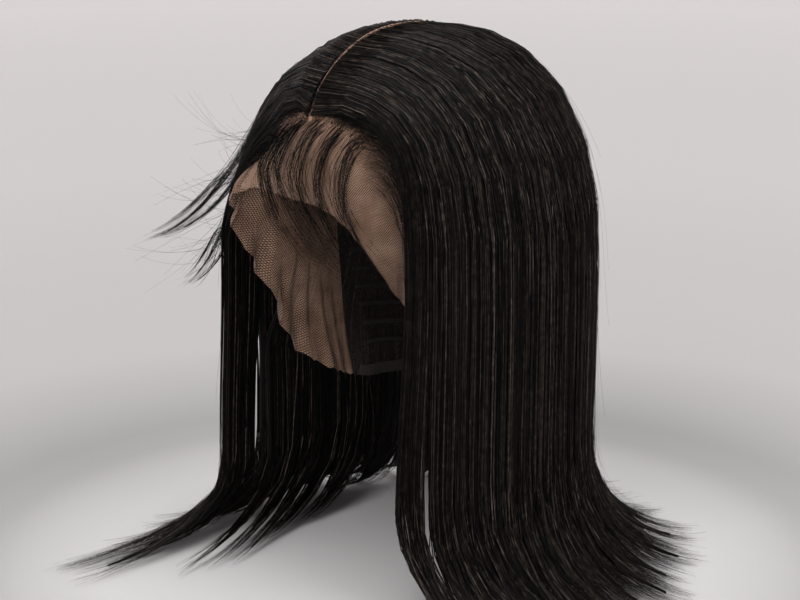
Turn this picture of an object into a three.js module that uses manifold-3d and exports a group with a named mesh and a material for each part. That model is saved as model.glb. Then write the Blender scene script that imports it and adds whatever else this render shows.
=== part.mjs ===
// A straight black human-hair wig on a lace cap: parted in the middle, about 480 mm from parting to tip,
// with an uncut lace margin at the face, fine baby hair along the hairline and ends that sweep outwards.
//
// Millimetres. The origin is the inside top of the cap, where the crown of the head bears. +Z is up, the
// face looks along -Y, and +X is the wearer's left. A bearing is an angle in plan from the face direction,
// positive towards the wearer's left.

import * as THREE from "three";
import { mergeVertices } from "three/addons/utils/BufferGeometryUtils.js";
import Module from "manifold-3d";

const wasm = await Module();
wasm.setup();

// Lace cap, measured on its inside face
const CAP_HALF_WIDTH = 78;
const CAP_FRONT = 101; // crown axis to forehead
const CAP_BACK = 100; // crown axis to back of head
const CAP_CROWN = 112; // crown down to the widest level
const CAP_ROUNDNESS = 2.25; // 2 is an ellipse, more is squarer
const NAPE_DROP = 250; // crown down to the nape edge
const NAPE_TUCK = 26; // how far the nape curves in below the widest level
const LACE_WALL = 1.2;
const CAP_COLUMNS = 72;
const CAP_ROWS = 9;
const SEAM_Y = 14; // ear-to-ear seam between the front lace and the back net
const SEAM_GAP = 0.4;
const TEMPLE_FLARE = 32; // how far the loose lace at the wearer's right temple stands off
const FOLD_DEPTH = 7; // height of the ruffles in the loose lace

// Hair that hangs from the parting
const PARTING_START = -87; // hairline end of the parting, along Y
const PARTING_END = 48; // where the last strands leave it, behind the crown
const PARTING_WIDTH = 3;
const HAIR_HALF_WIDTH = 117;
const HAIR_HALF_LENGTH = 134;
const RIM_DROP = 148; // crown down to the widest level of the hair
const TABLE_DROP = 366; // crown down to the table that the ends lie on
const BEND_DROP = 78; // height of the bend in which the ends turn out
const TIP_REACH = 86; // how far the ends sweep out
const TIP_UNEVENNESS = 0.07; // how much longer or shorter one lock sweeps than the next
const ROOT_THICKNESS = 5;
const CURTAIN_THICKNESS = 8;
const TIP_THICKNESS = 3;
const GROOVE_DEPTH = 2.2; // furrow between two locks
const SEAT_GAP = 1.8; // between the hair and the cap under it, at the corners of a lock
const LOCKS_A_SIDE = 14;

// Hair of the lower rows, under the outer locks
const UNDER_SHARE = 0.9; // how far out it hangs, as a share of the outer hair
const UNDER_ROOT_DROP = 152;
const UNDER_THICKNESS = 5;
const UNDER_FROM = 0.14; // where round a side it begins
const UNDER_SEAT_GAP = 0.4; // between its roots and the cap, at the corners of a lock

// Fine hair at the face
const WISP_SIDES = 6;
const BABY_HAIR_WIDTH = 7;
const BABY_HAIR_THICKNESS = 1.6;
const BABY_HAIR_LENGTH = 118;
const BABY_HAIR_LIFT = 1.6; // clear of the lace
const TEMPLE_WISP_WIDTH = 13;
const TEMPLE_WISP_THICKNESS = 5;
const TEMPLE_WISP_LENGTH = 104;
const TEMPLE_WISP_CLEARANCE = 0.2;

// Colours, roughness and metalness of the three materials
const HAIR_BLACK = { color: 0x15110f, roughness: 0.42, metalness: 0 };
const LACE_BROWN = { color: 0x9a7763, roughness: 0.8, metalness: 0 };
const NET_BROWN = { color: 0x4a372d, roughness: 0.85, metalness: 0 };

// Lower edge of the cap, a row for each bearing in degrees.
// drop: edge below the crown, as a share of NAPE_DROP. flare: share of TEMPLE_FLARE.
const CAP_EDGE = [
  { bearing: -180, drop: 1.0, flare: 0 },
  { bearing: -150, drop: 1.0, flare: 0 },
  { bearing: -125, drop: 1.0, flare: 0 },
  { bearing: -105, drop: 1.0, flare: 0.12 },
  { bearing: -84, drop: 0.96, flare: 0.48 },
  { bearing: -72, drop: 0.87, flare: 0.72 },
  { bearing: -62, drop: 0.67, flare: 0.92 },
  { bearing: -50, drop: 0.45, flare: 1.0 },
  { bearing: -38, drop: 0.4, flare: 0.35 },
  { bearing: -24, drop: 0.385, flare: 0 },
  { bearing: 7, drop: 0.386, flare: 0 },
  { bearing: 18, drop: 0.42, flare: 0 },
  { bearing: 28, drop: 0.5, flare: 0 },
  { bearing: 41, drop: 0.63, flare: 0 },
  { bearing: 54, drop: 0.71, flare: 0 },
  { bearing: 74, drop: 0.75, flare: 0 },
  { bearing: 98, drop: 0.82, flare: 0 },
  { bearing: 122, drop: 0.95, flare: 0 },
  { bearing: 150, drop: 1.0, flare: 0 },
  { bearing: 180, drop: 1.0, flare: 0 },
];

// Ruffles of the loose lace. out: height at the edge, as a share of FOLD_DEPTH. span: width in degrees.
const LACE_FOLDS = [
  { bearing: -36, span: 6, out: 0.8 },
  { bearing: -45, span: 5, out: -0.7 },
  { bearing: -66, span: 5, out: -0.9 },
  { bearing: -76, span: 5, out: 0.6 },
  { bearing: -88, span: 6, out: -0.7 },
  { bearing: -101, span: 7, out: 0.5 },
];

// Guide strands of the wearer's left, from the face edge (at 0) round to the back centre (at 1).
// along: root's place on the parting, from 0 at the hairline to 1 at its back end.
// wide, deep: where the strand hangs at the rim, as shares of HAIR_HALF_WIDTH and HAIR_HALF_LENGTH.
// low_wide, low_deep: the same where the ends begin to bend. round: 2 is a round shoulder, more is fuller.
// bend: share of BEND_DROP. bearing: the way the ends sweep. reach: how far, as a share of TIP_REACH.
const LEFT_GUIDES = [
  { at: 0.0, along: 0.0, wide: 0.61, deep: -0.56, low_wide: 0.6, low_deep: -0.62, round: 3.4, bend: 0.8, bearing: 86, reach: 1.1 },
  { at: 0.12, along: 0.1, wide: 0.8, deep: -0.43, low_wide: 0.81, low_deep: -0.46, round: 2.8, bend: 0.85, bearing: 84, reach: 1.12 },
  { at: 0.3, along: 0.28, wide: 0.97, deep: -0.17, low_wide: 0.98, low_deep: -0.19, round: 2.5, bend: 0.9, bearing: 86, reach: 1.1 },
  { at: 0.5, along: 0.48, wide: 1.02, deep: 0.18, low_wide: 1.03, low_deep: 0.17, round: 2.4, bend: 1, bearing: 93, reach: 1.02 },
  { at: 0.68, along: 0.68, wide: 0.93, deep: 0.52, low_wide: 0.93, low_deep: 0.51, round: 2.35, bend: 1, bearing: 110, reach: 1.0 },
  { at: 0.84, along: 0.85, wide: 0.6, deep: 0.86, low_wide: 0.6, low_deep: 0.85, round: 2.3, bend: 1, bearing: 138, reach: 0.95 },
  { at: 1.0, along: 1.0, wide: 0.02, deep: 1.0, low_wide: 0.02, low_deep: 0.98, round: 2.2, bend: 1, bearing: 178, reach: 0.9 },
];

// Guide strands of the wearer's right, which stand further off at the temple and sweep forwards.
const RIGHT_GUIDES = [
  { at: 0.0, along: 0.0, wide: 1.0, deep: -0.45, low_wide: 1.02, low_deep: -0.48, round: 1.55, bend: 0.62, bearing: 2, reach: 1.68 },
  { at: 0.12, along: 0.12, wide: 1.04, deep: -0.22, low_wide: 1.05, low_deep: -0.25, round: 2.4, bend: 0.65, bearing: 14, reach: 1.3 },
  { at: 0.3, along: 0.3, wide: 1.03, deep: 0.06, low_wide: 1.03, low_deep: 0.04, round: 2.3, bend: 0.7, bearing: 27, reach: 1.05 },
  { at: 0.5, along: 0.5, wide: 0.97, deep: 0.36, low_wide: 0.97, low_deep: 0.34, round: 2.2, bend: 0.8, bearing: 52, reach: 0.9 },
  { at: 0.68, along: 0.69, wide: 0.8, deep: 0.65, low_wide: 0.8, low_deep: 0.64, round: 2.25, bend: 0.9, bearing: 92, reach: 0.85 },
  { at: 0.84, along: 0.85, wide: 0.5, deep: 0.89, low_wide: 0.5, low_deep: 0.88, round: 2.2, bend: 1, bearing: 136, reach: 0.88 },
  { at: 1.0, along: 1.0, wide: 0.02, deep: 1.0, low_wide: 0.02, low_deep: 0.98, round: 2.2, bend: 1, bearing: 178, reach: 0.9 },
];

// Shares of a strand's run at which it passes the rim and begins its last bend
const AT_RIM = 0.42;
const AT_BEND = 0.68;

// How thick and how wide a lock is along its run: thick is a share of its full thickness, wide of its pitch.
// The locks are one curtain down to the bend, and part below it.
const LOCK_PROFILE = [
  { at: 0.0, thick: ROOT_THICKNESS / CURTAIN_THICKNESS, wide: 1 },
  { at: 0.12, thick: 0.75, wide: 1 },
  { at: 0.42, thick: 1, wide: 1 },
  { at: AT_BEND, thick: 0.95, wide: 1 },
  { at: 0.84, thick: 0.8, wide: 0.84 },
  { at: 0.93, thick: 0.6, wide: 0.54 },
  { at: 1.0, thick: TIP_THICKNESS / CURTAIN_THICKNESS, wide: 0.08 },
];

// Locks of the lower rows, from the face edge to the back centre of a side. to: where round the side a lock
// ends and the next begins. bearing: the way its tip sweeps. reach: how far, as a share of TIP_REACH.
const LEFT_UNDER_LOCKS = [
  { to: 0.25, bearing: 82, reach: 0.78 },
  { to: 0.36, bearing: 82, reach: 0.78 },
  { to: 0.47, bearing: 86, reach: 0.86 },
  { to: 0.58, bearing: 94, reach: 0.76 },
  { to: 0.69, bearing: 108, reach: 0.82 },
  { to: 0.79, bearing: 124, reach: 0.72 },
  { to: 0.89, bearing: 142, reach: 0.78 },
  { to: 0.99, bearing: 162, reach: 0.68 },
];
const RIGHT_UNDER_LOCKS = [
  { to: 0.22, bearing: -14, reach: 1.6 },
  { to: 0.31, bearing: -17, reach: 1.45 },
  { to: 0.4, bearing: -19, reach: 1.5 },
  { to: 0.5, bearing: -14, reach: 1.2 },
  { to: 0.61, bearing: -8, reach: 0.9 },
  { to: 0.73, bearing: 84, reach: 0.6 },
  { to: 0.86, bearing: 122, reach: 0.66 },
  { to: 0.99, bearing: 158, reach: 0.68 },
];

// Baby-hair wisps over the forehead, from the wearer's right to left. bearing and drop: the root on the
// hairline, drop as a share of NAPE_DROP. length: share of BABY_HAIR_LENGTH. sweep: how far round to the
// left the tip swings, in degrees.
const BABY_HAIR = [
  { name: "baby_hair_1", bearing: -18, drop: 0.215, length: 0.66, sweep: 16 },
  { name: "baby_hair_2", bearing: -10, drop: 0.19, length: 0.84, sweep: 19 },
  { name: "baby_hair_3", bearing: -2, drop: 0.175, length: 0.9, sweep: 21 },
  { name: "baby_hair_4", bearing: 7, drop: 0.18, length: 0.98, sweep: 23 },
  { name: "baby_hair_5", bearing: 16, drop: 0.19, length: 1.06, sweep: 23 },
  { name: "baby_hair_6", bearing: 25, drop: 0.215, length: 1.02, sweep: 19 },
];

// Locks blown off the right temple. at, run: where the lock parts from the outer hair. out, ahead, fall: the
// way its tip points, as shares of TEMPLE_WISP_LENGTH to the right, forwards and down.
const TEMPLE_WISPS = [
  { name: "temple_lock_upper", at: 0.0357, run: 0.25, out: 0.8, ahead: 0.16, fall: 0.72, size: 1 },
  { name: "temple_lock_lower", at: 0.0357, run: 0.36, out: 0.34, ahead: 0.3, fall: 0.8, size: 0.7 },
];

const radians = THREE.MathUtils.degToRad;

// A table's column at any place between its first and last row, on a smooth curve through the rows.
function column(table, key, at, by = "at") {
  let i = 0;
  while (i < table.length - 2 && table[i + 1][by] < at) i += 1;
  const [a, b, c, d] = [i - 1, i, i + 1, i + 2].map((k) => table[THREE.MathUtils.clamp(k, 0, table.length - 1)]);
  const slope = (p, q) => (q[by] === p[by] ? 0 : (q[key] - p[key]) / (q[by] - p[by]));
  const span = c[by] - b[by];
  const t = THREE.MathUtils.clamp((at - b[by]) / span, 0, 1);
  const [m0, m1] = [slope(a, c) * span, slope(b, d) * span];
  const [t2, t3] = [t * t, t * t * t];
  return (2 * t3 - 3 * t2 + 1) * b[key] + (t3 - 2 * t2 + t) * m0 + (3 * t2 - 2 * t3) * c[key] + (t3 - t2) * m1;
}

const smooth = (x) => THREE.MathUtils.smoothstep(x, 0, 1);

// Plan radius of the cap's inside face at its widest level.
function capRadius(bearing, grow) {
  const long = (Math.cos(bearing) > 0 ? CAP_FRONT : CAP_BACK) + grow;
  return 1 / Math.hypot(Math.sin(bearing) / (CAP_HALF_WIDTH + grow), Math.cos(bearing) / long);
}

// Point of the cap at a bearing in radians and a height, on the face that lies grow outside the inner one.
function capPoint(bearing, z, grow) {
  const degrees = THREE.MathUtils.radToDeg(bearing);
  const depth = grow - z;
  const crown = CAP_CROWN + grow;
  const edge = column(CAP_EDGE, "drop", degrees, "bearing") * NAPE_DROP;
  let radius = capRadius(bearing, grow);
  if (depth < crown) {
    radius *= (1 - (1 - depth / crown) ** CAP_ROUNDNESS) ** (1 / CAP_ROUNDNESS);
  } else {
    radius -= NAPE_TUCK * ((depth - crown) / (NAPE_DROP - CAP_CROWN)) ** 2;
  }
  const loose = smooth((-z / edge - 0.62) / 0.38);
  radius += TEMPLE_FLARE * column(CAP_EDGE, "flare", degrees, "bearing") * loose;
  for (const fold of LACE_FOLDS) {
    const away = (degrees - fold.bearing) / fold.span;
    radius += FOLD_DEPTH * fold.out * Math.exp(-away * away) * loose ** 1.5;
  }
  return new THREE.Vector3(Math.sin(bearing) * radius, -Math.cos(bearing) * radius, z);
}

// Height of the cap's outer face above a point of its midline.
function capTopAt(y) {
  const share = Math.min(0.97, Math.abs(y) / ((y < 0 ? CAP_FRONT : CAP_BACK) + LACE_WALL));
  const crown = CAP_CROWN + LACE_WALL;
  return LACE_WALL - crown * (1 - (1 - share ** CAP_ROUNDNESS) ** (1 / CAP_ROUNDNESS));
}

// Triangles of the wall through rings of equally many points. Rings run counter-clockwise seen from above,
// and each lies below the last.
function wall(rings) {
  const found = [];
  for (let r = 0; r < rings.length - 1; r += 1) {
    const [upper, lower] = [rings[r], rings[r + 1]];
    upper.forEach((a, k) => {
      const next = (k + 1) % upper.length;
      const [b, c, d] = [upper[next], lower[k], lower[next]];
      found.push(...(a.distanceTo(d) < b.distanceTo(c) ? [a, c, d, a, d, b] : [a, c, b, b, c, d]));
    });
  }
  return found;
}

// Triangles that close a ring, seen counter-clockwise: a fan from its first point, or from a pole over it.
function lid(ring, pole) {
  if (pole) return ring.flatMap((p, k) => [pole, p, ring[(k + 1) % ring.length]]);
  return ring.slice(2).flatMap((p, k) => [ring[0], ring[k + 1], p]);
}

const reversed = (list) => [...list].reverse();

// One closed body from its triangles, turned inside out where they were laid for the other side.
function body(triangles, side = 1) {
  const geometry = new THREE.BufferGeometry().setFromPoints(side > 0 ? triangles : reversed(triangles));
  return mergeVertices(geometry, 1e-4);
}

function toSolid(geometry) {
  const bare = new THREE.BufferGeometry().setAttribute("position", geometry.getAttribute("position"));
  const merged = mergeVertices(bare.setIndex(geometry.getIndex()), 1e-4);
  const [points, index] = [merged.getAttribute("position").array, merged.getIndex().array];
  return new wasm.Manifold(new wasm.Mesh({ numProp: 3, vertProperties: points, triVerts: new Uint32Array(index) }));
}

function toGeometry(solid) {
  const mesh = solid.getMesh();
  const geometry = new THREE.BufferGeometry();
  geometry.setAttribute("position", new THREE.BufferAttribute(mesh.vertProperties, 3));
  geometry.setIndex(new THREE.BufferAttribute(mesh.triVerts, 1));
  return geometry;
}

// The whole lace cap, with its loose margin, as one thin shell.
function capShell() {
  const ring = (v, grow) =>
    Array.from({ length: CAP_COLUMNS }, (_, k) => {
      const bearing = radians(-180 + (360 * k) / CAP_COLUMNS);
      const edge = column(CAP_EDGE, "drop", THREE.MathUtils.radToDeg(bearing), "bearing") * NAPE_DROP;
      return capPoint(bearing, grow - (grow + edge) * (1 - Math.cos((v * Math.PI) / 2)), grow);
    });
  const shares = Array.from({ length: CAP_ROWS }, (_, j) => (j + 1) / CAP_ROWS);
  const outside = shares.map((v) => ring(v, LACE_WALL));
  const inside = reversed(shares).map((v) => ring(v, 0));
  const top = lid(outside[0], new THREE.Vector3(0, 0, LACE_WALL));
  const crown = lid(reversed(inside.at(-1)), new THREE.Vector3(0, 0, 0));
  return body([...top, ...wall([...outside, ...inside]), ...crown]);
}

// The cap's shell on one side of the ear-to-ear seam: -1 is the face side, 1 the back.
function capHalf(shell, way) {
  const size = 4 * NAPE_DROP;
  const block = new THREE.BoxGeometry(size, size, size);
  block.translate(0, SEAM_Y + way * (size / 2 + SEAM_GAP / 2), 0);
  return toGeometry(shell.intersect(toSolid(block)));
}

// A point moved straight out from the middle of the head until it clears the cap by the given distance.
function clearOfCap(point, clearance) {
  const grow = LACE_WALL + clearance;
  const above = Math.max(0, point.z + CAP_CROWN);
  const level = Math.hypot(point.x, point.y) / capRadius(Math.atan2(point.x, -point.y), grow);
  const rise = above / (CAP_CROWN + grow);
  const share = (level ** CAP_ROUNDNESS + rise ** CAP_ROUNDNESS) ** (1 / CAP_ROUNDNESS);
  if (share >= 1 || above === 0) return point;
  return new THREE.Vector3(point.x / share, point.y / share, above / share - CAP_CROWN);
}

// Point of the outer hair surface: at is the place round a side, run the share of the strand's length.
function hairPoint(guides, side, at, run) {
  const read = (key) => column(guides, key, at);
  const clearance = SEAT_GAP + CURTAIN_THICKNESS * column(LOCK_PROFILE, "thick", run);
  const rootY = PARTING_START + (PARTING_END - PARTING_START) * read("along");
  const root = new THREE.Vector3(PARTING_WIDTH / 2, rootY, capTopAt(rootY) + clearance);
  const ring = (wide, deep, z) =>
    new THREE.Vector3(Math.max(wide * HAIR_HALF_WIDTH, PARTING_WIDTH / 2), deep * HAIR_HALF_LENGTH, z);
  const rim = ring(read("wide"), read("deep"), -RIM_DROP);
  const bend = BEND_DROP * read("bend");
  const low = ring(read("low_wide"), read("low_deep"), -TABLE_DROP + TIP_THICKNESS + bend);
  const point = root.clone();
  if (run < AT_RIM) {
    const turn = ((run / AT_RIM) * Math.PI) / 2;
    point.lerp(rim, Math.sin(turn) ** (2 / read("round")));
    point.z = rim.z + (root.z - rim.z) * Math.cos(turn) ** (2 / read("round"));
  } else if (run < AT_BEND) {
    const share = (run - AT_RIM) / (AT_BEND - AT_RIM);
    point.lerpVectors(rim, low, smooth(share));
    point.z = rim.z + (low.z - rim.z) * share;
  } else {
    const turn = (((run - AT_BEND) / (1 - AT_BEND)) * Math.PI) / 2;
    const reach = read("reach") * TIP_REACH * (1 - Math.cos(turn));
    const bearing = radians(read("bearing"));
    point.copy(low).add(new THREE.Vector3(Math.sin(bearing) * reach, -Math.cos(bearing) * reach, 0));
    point.z -= bend * Math.sin(turn);
  }
  const clear = clearOfCap(point, clearance);
  clear.x *= side;
  return clear;
}

// Point of the under hair, which leaves the cap below the widest level and hangs inside the outer hair.
function underPoint(guides, sweep, side, at, run) {
  const read = (key) => column(guides, key, at);
  const wide = Math.max(UNDER_SHARE * read("low_wide") * HAIR_HALF_WIDTH, PARTING_WIDTH / 2);
  const hang = new THREE.Vector3(wide, UNDER_SHARE * read("low_deep") * HAIR_HALF_LENGTH, 0);
  const root = capPoint(Math.atan2(side * hang.x, -hang.y), -UNDER_ROOT_DROP, LACE_WALL + UNDER_THICKNESS + UNDER_SEAT_GAP);
  root.x *= side;
  const bend = BEND_DROP * read("bend");
  const lowZ = -TABLE_DROP + (UNDER_THICKNESS * TIP_THICKNESS) / CURTAIN_THICKNESS + bend;
  const point = new THREE.Vector3();
  if (run < AT_BEND) {
    const share = run / AT_BEND;
    point.lerpVectors(root, hang, smooth(share * 2));
    point.z = root.z + (lowZ - root.z) * share;
  } else {
    const turn = (((run - AT_BEND) / (1 - AT_BEND)) * Math.PI) / 2;
    const reach = sweep.reach * TIP_REACH * (1 - Math.cos(turn));
    const bearing = radians(sweep.bearing);
    point.copy(hang).add(new THREE.Vector3(Math.sin(bearing) * reach, -Math.cos(bearing) * reach, 0));
    point.z = lowZ - bend * Math.sin(turn);
  }
  point.x *= side;
  return point;
}

// Outward normal of a hair surface, from its two directions.
function normalOf(surface, side, at, run) {
  const step = 0.004;
  const [a0, a1] = [Math.max(0, at - step), Math.min(1, at + step)];
  const [r0, r1] = [Math.max(0, run - step), Math.min(1, run + step)];
  const across = surface(a1, run).sub(surface(a0, run));
  const along = surface(at, r1).sub(surface(at, r0));
  return across.cross(along).multiplyScalar(-side).normalize();
}

// Six corners of a lock at one station: a crowned face outside and a flat one inside.
function lockSection(surface, side, from, to, thickness, run) {
  const thick = thickness * column(LOCK_PROFILE, "thick", run);
  const groove = Math.min(GROOVE_DEPTH, thick / 3);
  const half = ((to - from) / 2) * Math.min(1, column(LOCK_PROFILE, "wide", run));
  const spot = (across, inset) => {
    const at = (from + to) / 2 + across * half;
    return surface(at, run).addScaledVector(normalOf(surface, side, at, run), -inset);
  };
  return [spot(-1, groove), spot(-0.4, 0), spot(0.4, 0), spot(1, groove), spot(1, thick), spot(-1, thick)];
}

// Hair on one side: locks that are one curtain down to the bend and end in points of their own. cuts are the
// places round the side where one lock ends and the next begins, and surfaceOf gives each lock its surface.
function hairCurtain(surfaceOf, side, cuts, thickness, stations) {
  const locks = cuts.slice(1).map((to, i) => [cuts[i], to]);
  const rowOf = (run) => locks.map(([from, to]) => lockSection(surfaceOf(), side, from, to, thickness, run));
  const ringOf = (row) => [
    ...row.flatMap((lock) => lock.slice(0, 3)),
    row.at(-1)[3],
    row.at(-1)[4],
    ...reversed(row).map((lock) => lock[5]),
  ];
  const rows = stations.filter((run) => run <= AT_BEND).map(rowOf);
  const ends = locks.flatMap(([from, to], i) => {
    const top = [...rows.at(-1)[i]];
    if (i + 1 < locks.length) [top[3], top[4]] = [rows.at(-1)[i + 1][0], rows.at(-1)[i + 1][5]];
    const below = stations.filter((run) => run > AT_BEND);
    const rings = [top, ...below.map((run) => lockSection(surfaceOf(i), side, from, to, thickness, run))];
    return [...wall(rings), ...lid(reversed(rings.at(-1)))];
  });
  const roots = rows[0].flatMap((lock, i) => {
    const next = rows[0][i + 1];
    return lid(next ? [lock[5], lock[0], lock[1], lock[2], next[0], next[5]] : [lock[5], ...lock.slice(0, 5)]);
  });
  return body([...roots, ...wall(rows.map(ringOf)), ...ends], side);
}

function mesh(name, geometry, finish) {
  const made = new THREE.Mesh(geometry, new THREE.MeshStandardMaterial(finish));
  made.name = name;
  return made;
}

function lacePieces() {
  const shell = toSolid(capShell());
  const front = mesh("lace_front", capHalf(shell, -1), LACE_BROWN);
  const back = mesh("cap_net", capHalf(shell, 1), NET_BROWN);
  return [front, back];
}

const OUTER_STATIONS = [0, 0.02, 0.05, 0.1, 0.16, 0.22, 0.29, 0.36, 0.42, 0.5, 0.59, AT_BEND, 0.73, 0.78, 0.83, 0.88, 0.92, 0.96, 1];
const UNDER_STATIONS = [0, 0.12, 0.26, 0.4, 0.55, AT_BEND, 0.76, 0.84, 0.92, 1];

function outerHair(name, guides, side) {
  const surfaceOf = (i) => {
    const uneven = 1 + (i === undefined ? 0 : TIP_UNEVENNESS * Math.cos(2.4 * i));
    const swept = guides.map((row) => ({ ...row, reach: row.reach * uneven }));
    return (at, run) => hairPoint(swept, side, at, run);
  };
  const cuts = Array.from({ length: LOCKS_A_SIDE + 1 }, (_, i) => i / LOCKS_A_SIDE);
  return mesh(name, hairCurtain(surfaceOf, side, cuts, CURTAIN_THICKNESS, OUTER_STATIONS), HAIR_BLACK);
}

function underHair(name, guides, locks, side) {
  const surfaceOf = (i) => (at, run) => underPoint(guides, locks[i] ?? { bearing: 90, reach: 0 }, side, at, run);
  const cuts = [UNDER_FROM, ...locks.map((row) => row.to)];
  return mesh(name, hairCurtain(surfaceOf, side, cuts, UNDER_THICKNESS, UNDER_STATIONS), HAIR_BLACK);
}

// A lock that tapers from its root to a point along a curve: broad across the given direction.
function wisp(curve, broad, width, thickness, steps) {
  const rings = Array.from({ length: steps + 1 }, (_, i) => {
    const t = i / steps;
    const [middle, tangent] = [curve.getPointAt(t), curve.getTangentAt(t)];
    const across = broad.clone().addScaledVector(tangent, -broad.dot(tangent)).normalize();
    const out = tangent.clone().cross(across);
    const size = 0.55 + 0.45 * Math.sin(Math.PI * Math.min(1, t * 1.6 + 0.2));
    const taper = size * (1 - 0.9 * t * t);
    return Array.from({ length: WISP_SIDES }, (_, k) => {
      const angle = (-2 * Math.PI * k) / WISP_SIDES;
      return middle
        .clone()
        .addScaledVector(across, (Math.cos(angle) * width * taper) / 2)
        .addScaledVector(out, (Math.sin(angle) * thickness * taper) / 2);
    });
  });
  return body([...lid(rings[0]), ...wall(rings), ...lid(reversed(rings.at(-1)))]);
}

function babyHair() {
  return BABY_HAIR.map((row) => {
    const lift = LACE_WALL + BABY_HAIR_LIFT;
    const points = Array.from({ length: 7 }, (_, i) => {
      const t = i / 6;
      const bearing = radians(row.bearing + row.sweep * Math.sin((t * Math.PI) / 2) ** 1.3);
      const z = -row.drop * NAPE_DROP - row.length * BABY_HAIR_LENGTH * t;
      const radius = capRadius(bearing, lift + 3 * Math.sin(Math.PI * t));
      const bare = capPoint(bearing, z, lift);
      const share = Math.max(Math.hypot(bare.x, bare.y), i > 2 ? radius : 0);
      return new THREE.Vector3(Math.sin(bearing) * share, -Math.cos(bearing) * share, z);
    });
    const curve = new THREE.CatmullRomCurve3(points);
    const broad = new THREE.Vector3(Math.cos(radians(row.bearing)), Math.sin(radians(row.bearing)), 0);
    return mesh(row.name, wisp(curve, broad, BABY_HAIR_WIDTH, BABY_HAIR_THICKNESS, 8), HAIR_BLACK);
  });
}

function templeWisps() {
  const surface = (at, run) => hairPoint(RIGHT_GUIDES, -1, at, run);
  return TEMPLE_WISPS.map((row) => {
    const lift = TEMPLE_WISP_CLEARANCE + 0.35 * row.size * TEMPLE_WISP_THICKNESS;
    const normal = normalOf(surface, -1, row.at, row.run);
    const root = surface(row.at, row.run).addScaledVector(normal, lift);
    const flow = surface(row.at, row.run + 0.06).sub(surface(row.at, row.run)).normalize();
    const length = row.size * TEMPLE_WISP_LENGTH;
    const tip = root.clone().add(new THREE.Vector3(-row.out, -row.ahead, -row.fall).multiplyScalar(length));
    const first = root.clone().addScaledVector(flow, 0.3 * length).addScaledVector(normal, 0.06 * length);
    const second = tip.clone().add(new THREE.Vector3(0.35 * row.out, 0.2 * row.ahead, 0.1).multiplyScalar(length));
    const curve = new THREE.CubicBezierCurve3(root, first, second, tip);
    const broad = flow.clone().cross(normal);
    return mesh(row.name, wisp(curve, broad, row.size * TEMPLE_WISP_WIDTH, row.size * TEMPLE_WISP_THICKNESS, 10), HAIR_BLACK);
  });
}

const wig = new THREE.Group();
wig.add(...lacePieces());
wig.add(outerHair("hair_left", LEFT_GUIDES, 1), outerHair("hair_right", RIGHT_GUIDES, -1));
wig.add(underHair("under_hair_left", LEFT_GUIDES, LEFT_UNDER_LOCKS, 1));
wig.add(underHair("under_hair_right", RIGHT_GUIDES, RIGHT_UNDER_LOCKS, -1));
wig.add(...babyHair(), ...templeWisps());

export default wig;
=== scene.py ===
"""Looks of a straight black wig of human hair on a lace cap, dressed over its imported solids.

The hair lies on the surfaces that the solids have: guide strands in short tables, read on smooth curves and
kept clear of the cap. Sizes are millimetres until a mesh is made, and then metres. A bearing is an angle in
plan from the face direction, in degrees, positive towards the wearer's left.
"""

import logging
import math
from collections.abc import Callable
from dataclasses import dataclass, replace
from enum import Enum

import bmesh
import bpy
import numpy as np
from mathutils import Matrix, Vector


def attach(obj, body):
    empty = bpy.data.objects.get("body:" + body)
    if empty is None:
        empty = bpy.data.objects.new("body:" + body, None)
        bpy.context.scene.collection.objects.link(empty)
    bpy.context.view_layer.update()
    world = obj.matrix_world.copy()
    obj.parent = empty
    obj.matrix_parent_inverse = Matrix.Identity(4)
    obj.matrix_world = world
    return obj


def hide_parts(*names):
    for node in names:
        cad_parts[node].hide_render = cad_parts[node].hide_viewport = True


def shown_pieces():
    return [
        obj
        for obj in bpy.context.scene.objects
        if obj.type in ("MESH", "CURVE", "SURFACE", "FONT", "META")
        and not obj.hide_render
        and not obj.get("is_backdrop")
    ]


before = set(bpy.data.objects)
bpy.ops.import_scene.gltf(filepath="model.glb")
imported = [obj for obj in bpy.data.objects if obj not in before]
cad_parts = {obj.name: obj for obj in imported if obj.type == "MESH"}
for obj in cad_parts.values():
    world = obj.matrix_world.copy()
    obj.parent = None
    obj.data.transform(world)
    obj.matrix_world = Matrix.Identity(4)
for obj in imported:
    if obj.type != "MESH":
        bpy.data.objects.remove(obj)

log = logging.getLogger("wig")
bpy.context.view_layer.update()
MM = 0.001  # metres in a millimetre
Array = np.ndarray
Piece = bpy.types.Object
Finish = bpy.types.Material
Tree = bpy.types.NodeTree
Socket = bpy.types.NodeSocket


# Tables and curves


@dataclass(frozen=True)
class Table:
    """A short table of sizes. Its first column is the place that the others are read at."""

    columns: tuple[str, ...]
    rows: tuple[tuple[float, ...], ...]

    def read(self, key: str, place: Array | float) -> Array:
        """Reads a column on a smooth curve: a cubic Hermite whose slope at a row comes from its neighbours.

        Args:
            key: the column's name.
            place: where to read it, in the first column's measure.

        Returns:
            The column's value at each place.
        """
        data = np.array(self.rows, float)
        xs, ys = data[:, 0], data[:, self.columns.index(key)]
        last = len(xs) - 1
        b = np.searchsorted(xs[1:-1], place, side="left")
        a, c, d = np.maximum(b - 1, 0), b + 1, np.minimum(b + 2, last)
        span = xs[c] - xs[b]
        t = np.clip((place - xs[b]) / span, 0, 1)
        m0 = (ys[c] - ys[a]) / (xs[c] - xs[a]) * span
        m1 = (ys[d] - ys[b]) / (xs[d] - xs[b]) * span
        h0, h1 = 2 * t**3 - 3 * t**2 + 1, t**3 - 2 * t**2 + t
        return h0 * ys[b] + h1 * m0 + (1 - h0) * ys[c] + (t**3 - t**2) * m1


def smooth(x: Array | float) -> Array:
    """Smoothstep: 0 up to 0, 1 from 1 on, and 3x^2 - 2x^3 between."""
    x = np.clip(x, 0, 1)
    return x * x * (3 - 2 * x)


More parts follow.
